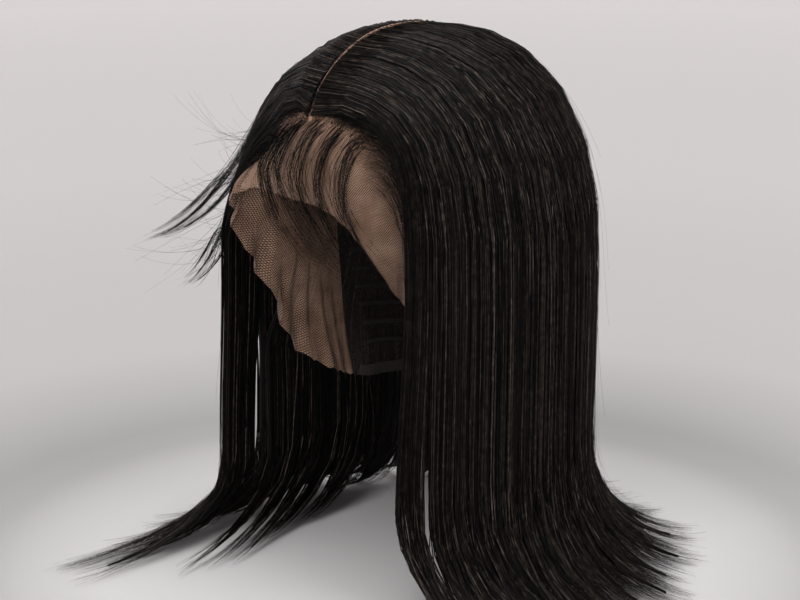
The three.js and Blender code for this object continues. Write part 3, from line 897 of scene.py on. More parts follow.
@dataclass
class Locks:
    """The body of a curtain: one closed, crowned strip for each lock, just under its outermost strands.

    cuts are the places round the side at which one lock ends and the next begins.
    """

    name: str
    side: int
    cuts: Array
    thickness: float
    groove: float = 1.0
    inset: float = 1.9
    feather: float = 1.0  # how far the face edge thins towards the lace
    slits: tuple[Slit, ...] = ()
    shrink: float = 0.12  # share of its width that a lock loses below the rim
    overlap: float = 1.02  # width of a lock as a share of its pitch, so that two locks leave no line of light
    last: float = 0.95  # run at which the locks end, short of the strands' own tips
    face_points: int = 9  # points across a lock's outer face, and across its inner one

    def stations(self) -> Array:
        """The runs at which a lock has a section: close together at the root and round the bend."""
        root, side = np.linspace(0, 0.12, 10), np.linspace(0.12, AT_BEND, 19)
        return np.unique(np.concatenate([root, side, np.linspace(AT_BEND, self.last, 16)]))

    def places(self) -> tuple[Array, Array]:
        """Place round the side and run of every point: (locks, stations, points of a section) each.

        A lock's width follows its profile, shrinks a little down the side and closes over its last stretch.
        The locks beside a slit are cut off along it.
        """
        middle = ((self.cuts[1:] + self.cuts[:-1]) / 2)[:, None, None]
        half = ((self.cuts[1:] - self.cuts[:-1]) / 2)[:, None, None]
        span = np.linspace(-1, 1, self.face_points)
        across = np.concatenate([span, -span])
        run = self.stations()[None, :, None]
        wide = np.minimum(1, LOCK_PROFILE.read("wide", run)) * self.overlap
        wide = wide * (1 - self.shrink * smooth((run - 0.5) / 0.4))
        wide = wide * (1 - 0.96 * smooth((run - 0.78) / 0.17))
        at = middle + across[None, None] * half * wide
        run = np.broadcast_to(run, at.shape)
        for slit in self.slits:
            side = np.where(middle >= slit.middle, 1, -1)
            kept = slit.middle + side * np.maximum((at - slit.middle) * side, 1e-4)
            near = np.abs(middle - slit.middle) < 1.2 * (2 * half)
            at = np.where(near, slit.aside(kept, run), at)
        return np.clip(at, 0, 1), run

    def build(self, point: Callable[[Array, Array], Array]) -> Piece:
        """Builds the strips.

        A section's outer face is sunk at the furrows with the fourth power of the distance from the lock's
        middle. Its inner face lies just inside the curtain's.

        Args:
            point: the surface, with the locks' own reach.

        Returns:
            The piece.
        """
        at, run = self.places()
        locks, stations, sides = at.shape
        span = np.linspace(-1, 1, self.face_points)
        across = np.concatenate([span, -span])
        outer = np.arange(sides) < self.face_points
        thick = self.thickness * LOCK_PROFILE.read("thick", run)
        rooted = 1 - smooth(run / 0.09)
        furrow = self.groove * across**4 * (1 - rooted)
        feather = (thick - 1.2) * self.feather * (1 - smooth(at / 0.045))
        outside = np.minimum(self.inset + furrow + 0.9 * rooted + feather, thick * 0.8)
        inside = np.maximum(thick - 0.8, self.inset + self.groove + 0.4)
        inset = np.where(outer, outside, np.minimum(inside, thick * 0.92))
        points = point(at, run) - outward(point, self.side, at, run) * inset[..., None]
        faces = tube_faces(locks, stations, sides, flip=self.side > 0)
        made = make_piece(self.name, points.reshape(-1, 3), faces)
        flow = np.stack([at * HAIR.side_span, run * HAIR.strand_length], -1).reshape(-1, 2)
        set_uv(made, "Flow", corner_values(flow, faces))
        return made


@dataclass
class Clumps:
    """How strands gather in clumps, with random numbers for each clump and for each strand."""

    rng: np.random.Generator
    root: Array  # each strand's place round the side
    number: Array  # each strand's clump
    count: int  # clumps in all
    pitch: float  # mean width of a clump
    middle: Array  # middle of each strand's clump
    lock: Array  # each strand's lock
    lock_middle: Array  # middle of each strand's lock

    def pick(self, low: float, high: float) -> Array:
        """One random number for each clump, given to its strands."""
        return self.rng.uniform(low, high, self.count)[self.number]

    def own(self, low: float, high: float) -> Array:
        """One random number for each strand."""
        return self.rng.uniform(low, high, len(self.root))

    def some(self, share: float) -> Array:
        """True for about this share of the strands."""
        return self.rng.random(len(self.root)) < share


@dataclass
class Tresses:
    """The strands of one curtain, laid on its surface in clumps that gather towards their ends."""

    side: int
    cuts: Array
    clumps: int
    count: int
    seed: int
    width: tuple[float, float] = (0.28, 0.64)  # a drawn strand stands for a few hairs of 0.08 mm
    lift: tuple[float, float] = (-1.7, 0.3)
    start: float = 0.0
    stations: int = 16
    inner: float = 0.0  # thickness of the curtain whose inner face the strands lie on, 0 for its outer face
    # painted shade: strands on a curtain's inner face are a little darker
    inner_shade: float = 0.95
    meet: float = 3.0  # how far the last strands at the back reach over to the other side's
    short: float = 0.12  # share of the strands that end early
    wandering: float = 0.2  # share that crosses its neighbours
    loose: float = 0.04  # share that stands off the rest
    mid_parting: float = 0.09  # share that is rooted close to the parting's middle
    slits: tuple[Slit, ...] = ()

    def clumped(self) -> Clumps:
        """Shares the strands out over clumps of uneven width, and the clumps over the locks."""
        rng = np.random.default_rng(self.seed)
        low, high = self.cuts[0], self.cuts[-1]
        pitch = (high - low) / self.clumps
        edges = np.linspace(low, high, self.clumps + 1)
        edges[1:-1] += rng.uniform(-0.4, 0.4, self.clumps - 1) * pitch
        root = low + (high - low) * (np.arange(self.count) + rng.random(self.count)) / self.count
        number = np.clip(np.searchsorted(edges, root) - 1, 0, self.clumps - 1)
        middle = ((edges[1:] + edges[:-1]) / 2)[number]
        lock = np.clip(np.searchsorted(self.cuts, middle) - 1, 0, len(self.cuts) - 2)
        lock_middle = ((self.cuts[1:] + self.cuts[:-1]) / 2)[lock]
        return Clumps(rng, root, number, self.clumps, pitch, middle, lock, lock_middle)

    def runs(self, clumps: Clumps) -> tuple[Array, Array]:
        """Stations of each strand, as shares of its own length and as runs of the surface.

        A strand ends near its clump's end, or early. Two sines draw the stations together at its ends.
        """
        end = np.minimum(1.0, clumps.pick(0.935, 1.0) + clumps.own(-0.03, 0.012))
        end = np.where(clumps.some(self.short), clumps.own(0.78, 0.95), end)
        even = np.linspace(0, 1, self.stations)
        t = even - 0.035 * np.sin(2 * np.pi * even) - 0.018 * np.sin(4 * np.pi * even)
        return t, self.start + (end - self.start)[:, None] * t[None]

    def places(self, clumps: Clumps, run: Array) -> Array:
        """Place round the side of every point of every strand.

        A strand drifts towards its clump's middle in two eased steps, wavers by a sine of its run, narrows
        with its lock towards the tip and keeps out of the slits.
        """
        gather = clumps.pick(0.05, 0.45)[:, None] * smooth(run / 0.5)
        gather = gather + clumps.pick(0.15, 0.5)[:, None] * smooth((run - 0.55) / 0.45)
        wander = np.where(clumps.some(self.wandering), clumps.own(1.2, 3.2), 0.45)[:, None]
        wander = wander * clumps.own(-1, 1)[:, None]
        wave = np.sin(run * clumps.own(2.5, 8)[:, None] + clumps.own(0, 6.3)[:, None])
        drift = wander * wave * clumps.pitch * smooth(run / 0.2)
        to_middle = (clumps.middle - clumps.root)[:, None]
        at = clumps.root[:, None] + to_middle * np.minimum(gather, 0.9) + drift
        narrow = np.minimum(1, LOCK_PROFILE.read("wide", run)) ** clumps.pick(0.25, 0.75)[:, None]
        lock_middle = clumps.lock_middle[:, None]
        at = lock_middle + (at - lock_middle) * narrow
        for slit in self.slits:
            at = slit.aside(at, run)
        return np.clip(at, 0, 1)

    def lifts(self, clumps: Clumps, at: Array, run: Array, rooted: bool) -> Array:
        """Height of every point over the surface.

        It is the clump's and the strand's own, less the furrow between two locks, which deepens with the
        fourth power of the distance from the lock's middle. The face edge thins, and loose strands arch.
        """
        thick = LOCK_PROFILE.read("thick", run)
        off = np.abs((clumps.root - clumps.lock_middle) / (self.cuts[1] - self.cuts[0]) * 2)[:, None]
        furrow = off**4 * 0.9
        level = clumps.pick(*self.lift)[:, None] + clumps.own(-0.35, 0.35)[:, None] - furrow
        if self.inner:
            lift = -(self.inner * thick - 0.75) + level * 0.6
        else:
            feather = (HAIR.curtain * thick - 2.4) * (1 - smooth(at / 0.05)) * clumps.own(0.1, 0.95)[:, None]
            lift = level * (0.25 + 0.75 * smooth(run / 0.1)) - feather * rooted
            lift = np.maximum(lift, -0.7 * HAIR.curtain * thick)
        loose = clumps.some(self.loose)[:, None] * clumps.own(0.6, 2.6)[:, None]
        arch = np.sin(np.clip((run - 0.15) / 0.75, 0, 1) * np.pi)
        return lift + loose * arch * (-1 if self.inner else 1)

    def from_parting(self, clumps: Clumps, points: Array, run: Array) -> Array:
        """Points whose first stretch comes up out of the parting, lower at its front end."""
        mid = clumps.some(self.mid_parting)
        beside = np.where(mid, clumps.own(0.1, 0.8), clumps.own(1.05, 2.3))
        height = np.where(mid, clumps.own(0.2, 0.9), clumps.own(-0.9, -0.4))
        height = height - HAIR.front_dip * (1 - smooth((clumps.root - 0.004) / 0.07))
        knot = points[:, :1] * [0, 1, 1] + stack(beside * self.side, 0, height)[:, None]
        return knot + (points - knot) * smooth(run / 0.012)[..., None]

    def tints(self, clumps: Clumps) -> Array:
        """Tint of each strand: its clump's and its own, darker towards the clump's edges as painted shade.

        Its lightest strands are partly the hair's own lighter strands and partly painted highlight, and
        strands on a curtain's inner face are a little darker as painted shade.
        """
        off = np.abs(clumps.root - clumps.middle) / clumps.pitch * 2
        # painted shade: darker towards the clump's edges, where the gaps between clumps fall in shadow
        edge = 1 - clumps.pick(0.1, 1) * smooth((off - 0.4) / 0.4)
        tint = np.clip((0.03 + clumps.pick(0, 0.24) + clumps.own(0, 1) ** 1.4 * 0.78) * edge, 0, 1)
        return tint * (self.inner_shade if self.inner else 1.0)

    def lay(
        self, surface: Callable[..., Array], rooted: bool, sweep: Callable[[Array], dict[str, Array]]
    ) -> Strands:
        """Lays the strands: places on the surface, a height over it, a curl at the tips, and their tapers.

        Args:
            surface: the hair surface's point method.
            rooted: True where the strands come up out of the parting.
            sweep: for each lock's number, what the surface takes for its ends.

        Returns:
            The strands.
        """
        clumps = self.clumped()
        t, run = self.runs(clumps)
        at = self.places(clumps, run)
        values = {k: np.broadcast_to(v[:, None], at.shape) for k, v in sweep(clumps.lock).items()}
        if "turn" in values:
            values["turn"] = values["turn"] + clumps.pick(-9, 9)[:, None] + clumps.own(-3, 3)[:, None]
        values["reach"] = values["reach"] * clumps.pick(0.92, 1.03)[:, None]
        point = lambda a, r: surface(a, r, **values)
        points, out = point(at, run), outward(point, self.side, at, run)
        points[..., 0] -= self.side * self.meet * smooth((at - 0.965) / 0.03) * smooth(run / 0.12)
        points = points + out * self.lifts(clumps, at, run, rooted)[..., None]
        curl = (clumps.pick(-1, 5) + clumps.own(-1, 3))[:, None] * smooth((run - 0.84) / 0.16)
        curled = (clumps.rng.random(self.clumps) < 0.6)[clumps.number]
        points[..., 2] += curl * curled[:, None]
        if rooted:
            points = self.from_parting(clumps, points, run)
        taper = (0.7 + 0.3 * smooth(run / 0.1)) * (1 - 0.82 * smooth((t[None] - 0.8) / 0.2))
        width = clumps.own(*self.width)[:, None] * taper
        return Strands(points, out * (-1 if self.inner else 1), width, self.tints(clumps))


BODY_REACH = 0.97  # how far the locks' bodies sweep, as a share of their strands


class Side(Enum):
    """A side of the wig, as the sign of its x."""

    LEFT = 1
    RIGHT = -1


@dataclass
class OuterHair:
    """The outer curtain of one side: its locks and the strands over them."""

    side: Side
    guides: Table
    strands: int
    clumps: int
    seed: int
    inside: int = 440
    slits: tuple[Slit, ...] = ()
    unevenness: float = 0.07

    def reach_of(self, lock: Array) -> Array:
        """How much longer or shorter one lock sweeps than the next: a cosine of its number."""
        return 1 + self.unevenness * np.cos(2.4 * lock)

    def build(self, locks_finish: Finish, strand_finish: Finish) -> list[Piece]:
        """Builds the locks and, in two pieces, the strands.

        Args:
            locks_finish: material of the locks.
            strand_finish: material of the strands.

        Returns:
            The pieces.
        """
        word = self.side.name.lower()
        sign = self.side.value
        surface = OuterSurface(self.guides, sign)
        cuts = np.arange(HAIR.locks + 1) / HAIR.locks
        reach = self.reach_of(np.arange(HAIR.locks))[:, None, None] * BODY_REACH
        body = Locks(f"locks_{word}", sign, cuts, HAIR.curtain, slits=self.slits)
        locks = body.build(lambda a, r: surface.point(a, r, reach))
        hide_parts(f"hair_{word}")
        tresses = Tresses(sign, cuts, self.clumps, self.strands, self.seed, slits=self.slits)
        ends = lambda lock: {"reach": self.reach_of(lock), "turn": np.zeros(len(lock))}
        lines = tresses.lay(surface.point, True, ends)
        first = np.arange(self.strands) < self.strands // 2
        inside = Tresses(
            sign,
            cuts,
            80,
            self.inside,
            self.seed + 100,
            start=0.3,
            stations=13,
            inner=HAIR.curtain,
            width=(0.5, 1.1),
            slits=self.slits,
        )
        pieces = [
            strand_piece(f"strands_{word}_front", lines.part(first)),
            strand_piece(f"strands_{word}_back", lines.part(~first)),
            strand_piece(f"inner_strands_{word}", inside.lay(surface.point, False, ends)),
        ]
        dress(locks, locks_finish)
        for piece in pieces:
            dress(piece, strand_finish)
        return [locks, *pieces]


@dataclass
class UnderHair:
    """The lower rows of one side. rows: where a lock ends, the way its tip sweeps and how far."""

    side: Side
    guides: Table
    rows: tuple[tuple[float, float, float], ...]
    strands: int
    seed: int
    inside: int = 300
    start: float = 0.14

    def build(self, locks_finish: Finish, strand_finish: Finish) -> list[Piece]:
        """Builds the locks and their strands.

        Args:
            locks_finish: material of the locks.
            strand_finish: material of the strands.

        Returns:
            The pieces.
        """
        word = self.side.name.lower()
        sign = self.side.value
        surface = UnderSurface(self.guides, sign)
        rows = np.array(self.rows)
        cuts = np.concatenate([[self.start], rows[:, 0]])
        bearing, reach = rows[:, 1], rows[:, 2]
        ends = {"reach": reach[:, None, None] * BODY_REACH, "bearing": bearing[:, None, None]}
        body = Locks(
            f"under_locks_{word}", sign, cuts, HAIR.under, groove=0.7, inset=1.1, feather=0.0, shrink=0.2
        )
        locks = body.build(lambda a, r: surface.point(a, r, **ends))
        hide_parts(f"under_hair_{word}")
        sweep = lambda lock: {"reach": reach[lock], "bearing": bearing[lock]}
        tresses = Tresses(sign, cuts, 70, self.strands, self.seed, lift=(-0.9, 0.0), stations=14, start=0.02)
        strands = strand_piece(f"under_strands_{word}", tresses.lay(surface.point, False, sweep))
        inside = Tresses(
            sign,
            cuts,
            60,
            self.inside,
            self.seed + 100,
            start=0.05,
            stations=13,
            inner=HAIR.under,
            width=(0.45, 1.0),
        )
        inner = strand_piece(f"under_inner_strands_{word}", inside.lay(surface.point, False, sweep))
        dress(locks, locks_finish)
        dress(strands, strand_finish)
        dress(inner, strand_finish)
        return [locks, strands, inner]


def dress(piece: Piece, finish: Finish) -> Piece:
    """Gives a piece its material and slot, and has it ride on the wig's one body."""
    piece.data.materials.clear()
    piece.data.materials.append(finish)
    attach(piece, "root")
    log.info("%s: %d faces", piece.name, len(piece.data.polygons))
    return piece


# Fine hair at the face


@dataclass
class BabyHair:
    """Wisps along the hairline: fine short hair that curls down over the forehead to the wearer's left."""

    length: float = 118
    lift: float = 1.6
    rows: tuple[tuple[float, float, float, float], ...] = (  # bearing, drop, length, sweep
        (-18, 0.215, 0.66, 16),
        (-10, 0.19, 0.84, 19),
        (-2, 0.175, 0.9, 21),
        (7, 0.18, 0.98, 23),
        (16, 0.19, 1.06, 23),
        (25, 0.215, 1.02, 19),
    )
    groups: tuple[float, ...] = (-2.7, -1.0, 0.7, 2.4)  # degrees of bearing from the wisp's middle
    hairs: int = 30
    stations: int = 14
    seed: int = 11

    def lines(self, row: tuple[float, float, float, float], rng: np.random.Generator) -> Strands:
        """Strands of one wisp, in a few groups that close on each other, with one in five loose.

        A hair's bearing is its group's, less a bow to the wearer's right that comes and goes as a sine, and
        plus a swing to the left that grows with a power of its run. It lies on the lace and then hangs free.

        Args:
            row: the wisp's bearing, drop, length and sweep.
            rng: where its random numbers come from.

        Returns:
            The strands.
        """
        bearing0, drop, length, sweep = row
        n, t = self.hairs, np.linspace(0, 1, self.stations)[None]
        own = column_draws(rng, n)
        share = rng.triangular(0.3, 0.9, 1.04, n)[:, None]
        gone = t * share
        group = rng.choice(self.groups, n)[:, None] + own(-0.28, 0.28)
        loose = (rng.random(n) < 0.2)[:, None] * own(-9, 9)
        spread = group * (1 - 0.55 * smooth(gone * 1.5)) + loose * smooth((gone - 0.1) / 0.9)
        bow = own(7.5, 9.5) * np.sin(np.pi * np.clip(gone, 0, 1) ** 0.64)
        swing = sweep * own(1.2, 1.45) * gone ** own(1.6, 1.9) - bow
        bearing = np.radians(bearing0 + spread + swing)
        z = -drop * CAP.nape_drop + own(-5, 4) - length * self.length * gone * own(0.93, 1.05)
        grow = CAP.wall + self.lift + own(-1.2, 2.4) * smooth(t * 3)
        bare = CAP.point(bearing, z, 0.0)
        bare_radius = np.hypot(bare[..., 0], bare[..., 1]) + grow
        hung = CAP.radius(bearing, 0.0) + grow + 3 * np.sin(np.pi * t)
        radius = np.maximum(bare_radius, bare_radius + (hung - bare_radius) * smooth((t - 0.2) / 0.25))
        radius = radius - (self.lift + 0.6) * (1 - smooth(t * 6))
        points = stack(np.sin(bearing) * radius, -np.cos(bearing) * radius, z)
        out = stack(np.sin(bearing), -np.cos(bearing), 0.0 * z)
        width = own(0.24, 0.46) * (1 - 0.75 * smooth((t - 0.4) / 0.6))
        return Strands(points, out, width, rng.random(n) * 0.2, flatness=0.8)

    def build(self, finish: Finish) -> list[Piece]:
        """Builds one bundle for each wisp."""
        rng = np.random.default_rng(self.seed)
        made = []
        for number, row in enumerate(self.rows, 1):
            piece = strand_piece(f"baby_hairs_{number}", self.lines(row, rng))
            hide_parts(f"baby_hair_{number}")
            made.append(dress(piece, finish))
        return made


@dataclass
class TempleLocks:
    """Two locks blown off the right temple."""

    thickness: float = 5
    length: float = 104
    at: float = 0.0357  # the middle of the right side's first lock
    rows: tuple[tuple[str, float, float, float, float, float], ...] = (  # node, run, out, ahead, fall, size
        ("temple_lock_upper", 0.25, 0.8, 0.16, 0.72, 1.0),
        ("temple_lock_lower", 0.36, 0.34, 0.3, 0.8, 0.7),
    )
    # Three tresses of each lock: their distance from its middle half way along, and at the root
    tress_arch: tuple[float, float, float] = (-1.5, 6.5, -7.0)
    tress_root: tuple[float, float, float] = (-2.5, 4.5, -4.0)
    hairs: int = 120
    stations: int = 16
    seed: int = 23

    def curve(
        self, run: float, out: float, ahead: float, fall: float, size: float, t: Array
    ) -> tuple[Array, Array]:
        """The lock's middle line, a cubic Bezier that leaves the outer hair along its flow.

        Args:
            run: where on the right side's face edge it leaves the hair.
            out: how far its tip lies to the wearer's right, as a share of its length.
            ahead: how far forwards.
            fall: how far down.
            size: the lock's size, as a share of the full one.
            t: places along it, 0 at the root and 1 at the tip.

        Returns:
            Its points, and the direction of its width.
        """
        surface = OuterSurface(RIGHT_GUIDES, -1)
        at, here = np.array(self.at), np.array(run)
        normal = outward(surface.point, -1, at, here)
        root = surface.point(at, here) + normal * (0.2 + 0.35 * size * self.thickness)
        flow = unit(surface.point(at, here + 0.06) - surface.point(at, here))
        long = size * self.length
        tip = root + np.array([-out, -ahead, -fall]) * long
        first = root + flow * 0.3 * long + normal * 0.06 * long
        second = tip + np.array([0.35 * out, 0.2 * ahead, 0.1]) * long
        t = t[..., None]
        line = (1 - t) ** 3 * root + 3 * (1 - t) ** 2 * t * first + 3 * (1 - t) * t**2 * second + t**3 * tip
        return line, unit(np.cross(flow, normal))

    def build(self, finish: Finish) -> list[Piece]:
        """Builds each lock: three tresses, each an oval of strands that closes, and three in ten splayed.

        The tresses rise off the middle line as a sine. Their roots are blended into the outer hair.
        """
        rng = np.random.default_rng(self.seed)
        surface = OuterSurface(RIGHT_GUIDES, -1)
        made = []
        for node, run, out, ahead, fall, size in self.rows:
            n = int(self.hairs * size)
            own = column_draws(rng, n)
            share = rng.triangular(0.35, 0.93, 1.06, n)[:, None]
            t = np.linspace(0, 1, self.stations)[None] * share
            line, broad = self.curve(run, out, ahead, fall, size, t)
            ahead_way = unit(np.gradient(line, axis=1))
            side = unit(broad - ahead_way * np.sum(broad * ahead_way, -1, keepdims=True))
            up = np.cross(ahead_way, side)
            tress = rng.choice(3, n, p=(0.45, 0.35, 0.2))[:, None]
            arch = np.sin(np.pi * np.clip(t * 1.04, 0, 1))
            arched = np.array(self.tress_arch)[tress] * arch
            offset = (arched + np.array(self.tress_root)[tress] * (1 - t) ** 2) * size
            angle, far = own(0, 2 * np.pi), np.sqrt(own(0, 1))
            close = (2.3 - 1.95 * smooth(t * 1.1) + own(0, 0.9) * smooth((t - 0.3) / 0.7)) * size
            wild = (rng.random(n) < 0.3)[:, None] * own(-1, 1) * 14
            wild = wild * smooth((t - 0.05) / 0.95) ** own(0.9, 2.0)
            wide = 0.45 * offset + np.cos(angle) * far * close + 0.5 * wild
            high = 0.85 * offset + np.sin(angle) * far * close + 0.8 * wild + 5 * size * arch
            hook = own(-1.5, 2) * smooth(t) ** 2.5 + (tress == 2) * 4 * smooth(t) ** 2 + 0.4 * wild * t
            points = line + side * wide[..., None] + up * high[..., None] + stack(0.0 * t, 0.0 * t, hook)
            root_at = np.clip(self.at + own(-0.035, 0.07), 0, 1) + 0 * t
            root_run = run + own(-0.09, 0.02) + 0.4 * t
            skin = surface.point(root_at, root_run) - outward(surface.point, -1, root_at, root_run) * 0.8
            points = skin + (points - skin) * smooth(t / own(0.26, 0.46))[..., None]
            width = own(0.17, 0.36) * (1 - 0.75 * smooth((t - 0.4) / 0.6))
            piece = strand_piece(
                node.replace("temple_lock", "temple_hairs"),
                Strands(points, up, width, rng.random(n) * 0.6, flatness=0.8),
            )
            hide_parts(node)
            made.append(dress(piece, finish))
        return made


@dataclass
class Strays:
    """Single hairs that stand off the curtains and off the temple."""

    count: int = 150
    temple: int = 60
    width: tuple[float, float] = (0.14, 0.26)
    brightest: float = 0.6  # their tints run from 0 to this
    stations: int = 13
    far_right: float = -196  # no hair of the temple reaches further to the wearer's right
    seed: int = 41

    def off_surface(self, guides: Table, side: int, rng: np.random.Generator, n: int) -> Strands:
        """Hairs that follow the surface and lift off it with a power of the way they have gone."""
        surface = OuterSurface(guides, side)
        own = column_draws(rng, n)
        at0, start = own(0, 1), own(0.04, 0.62)
        length = own(0.16, 0.46)
        t = np.linspace(0, 1, self.stations)[None]
        run = np.minimum(start + length * t, 1.0)
        at = np.clip(at0 + own(-0.03, 0.03) * t**1.5, 0, 1)
        out = outward(surface.point, side, at, run)
        lift = own(1.5, 13) * own(0.3, 1) * t ** own(1.2, 2.4)
        points = surface.point(at, run) + out * (lift - 0.6)[..., None]
        width = own(*self.width) * (1 - 0.6 * t)
        return Strands(points, out, width, rng.random(n) * self.brightest, flatness=1.0)

    def off_temple(self, rng: np.random.Generator) -> Strands:
        """Hairs from the right temple: a parabola out, forwards and down, each with its own throw."""
        surface = OuterSurface(RIGHT_GUIDES, -1)
        n = self.temple
        own = column_draws(rng, n)
        t = np.linspace(0, 1, self.stations)[None]
        root = surface.point(own(0.0, 0.1), own(0.16, 0.42))
        throw = 22 + 62 * own(0, 1) ** 1.5
        way = np.radians(own(-118, -48))
        rise = own(-1.0, -0.05)
        bow = own(-0.4, 1.15) * throw
        x = root[..., 0] + np.sin(way) * throw * t**1.15
        y = root[..., 1] - np.cos(way) * throw * t**1.3
        z = root[..., 2] + rise * throw * t + bow * t * t * 0.7 - 4 * (1 - t)
        points = stack(np.maximum(x, self.far_right), y, z)
        out = np.broadcast_to(unit(stack(-0.3, -0.4, 0.86)), points.shape)
        width = own(*self.width) * (1 - 0.6 * t)
        return Strands(points, out, width, rng.random(n) * self.brightest, flatness=1.0)

    def build(self, finish: Finish) -> list[Piece]:
        """Builds three pieces of stray hairs."""
        rng = np.random.default_rng(self.seed)
        sets = {
            "stray_hairs_left": self.off_surface(LEFT_GUIDES, 1, rng, self.count),
            "stray_hairs_right": self.off_surface(RIGHT_GUIDES, -1, rng, self.count * 2 // 3),
            "stray_hairs_temple": self.off_temple(rng),
        }
        return [dress(strand_piece(name, lines), finish) for name, lines in sets.items()]


@dataclass
class Hairline:
    """Hair knotted into the lace ahead of each curtain's edge, which softens it into the lace."""

    count: int = 380
    ahead: float = 13.0  # degrees of bearing by which the first knots lead the curtain's edge
    width: tuple[float, float] = (0.2, 0.42)
    stations: int = 13
    seed: int = 57

    def lines(self, guides: Table, side: int, rng: np.random.Generator) -> Strands:
        """Strands that rise from the lace and join the curtain's edge a little further down.

        A strand leaves the line of its knot for the curtain's by a smoothstep of its run.
        """
        surface = OuterSurface(guides, side)
        n = self.count
        own = column_draws(rng, n)
        start = HAIR.hairline_run * own(0, 1) ** 1.1
        t = np.linspace(0, 1, self.stations)[None] ** 1.25
        end = start + own(0.25, 0.62)
        run = start + (np.minimum(end, 0.99) - start) * t
        at = np.clip(own(0.0, 0.05) + 0 * t, 0, 1)
        out = outward(surface.point, side, at, run)
        flow = surface.point(at, run) + out * own(-1.2, 0.3)[..., None]
        edge = surface.point(np.zeros_like(start), start)
        bearing = np.arctan2(edge[..., 0], -edge[..., 1]) - side * np.radians(self.ahead) * own(0, 1) ** 1.6
        knot = CAP.point(bearing, edge[..., 2] - HAIR.hairline_under, CAP.wall + 0.2)
        points = knot + (flow - knot) * smooth((run - start) / own(0.08, 0.16))[..., None]
        width = own(*self.width) * (0.6 + 0.4 * smooth(t / 0.2)) * (1 - 0.7 * smooth((t - 0.6) / 0.4))
        return Strands(points, out, width, rng.random(n) * 0.62)

    def build(self, finish: Finish) -> list[Piece]:
        """Builds the hairline of each side."""
        rng = np.random.default_rng(self.seed)
        return [
            dress(strand_piece("hairline_left", self.lines(LEFT_GUIDES, 1, rng)), finish),
            dress(strand_piece("hairline_right", self.lines(RIGHT_GUIDES, -1, rng)), finish),
        ]


# The lace cap


def round_back(half: Array | float, count: int) -> Array:
    """Bearings round the back's middle, from half the span on one side to half on the other."""
    bearing = np.pi + half * np.linspace(-1, 1, count)[None]
    return (bearing + np.pi) % (2 * np.pi) - np.pi


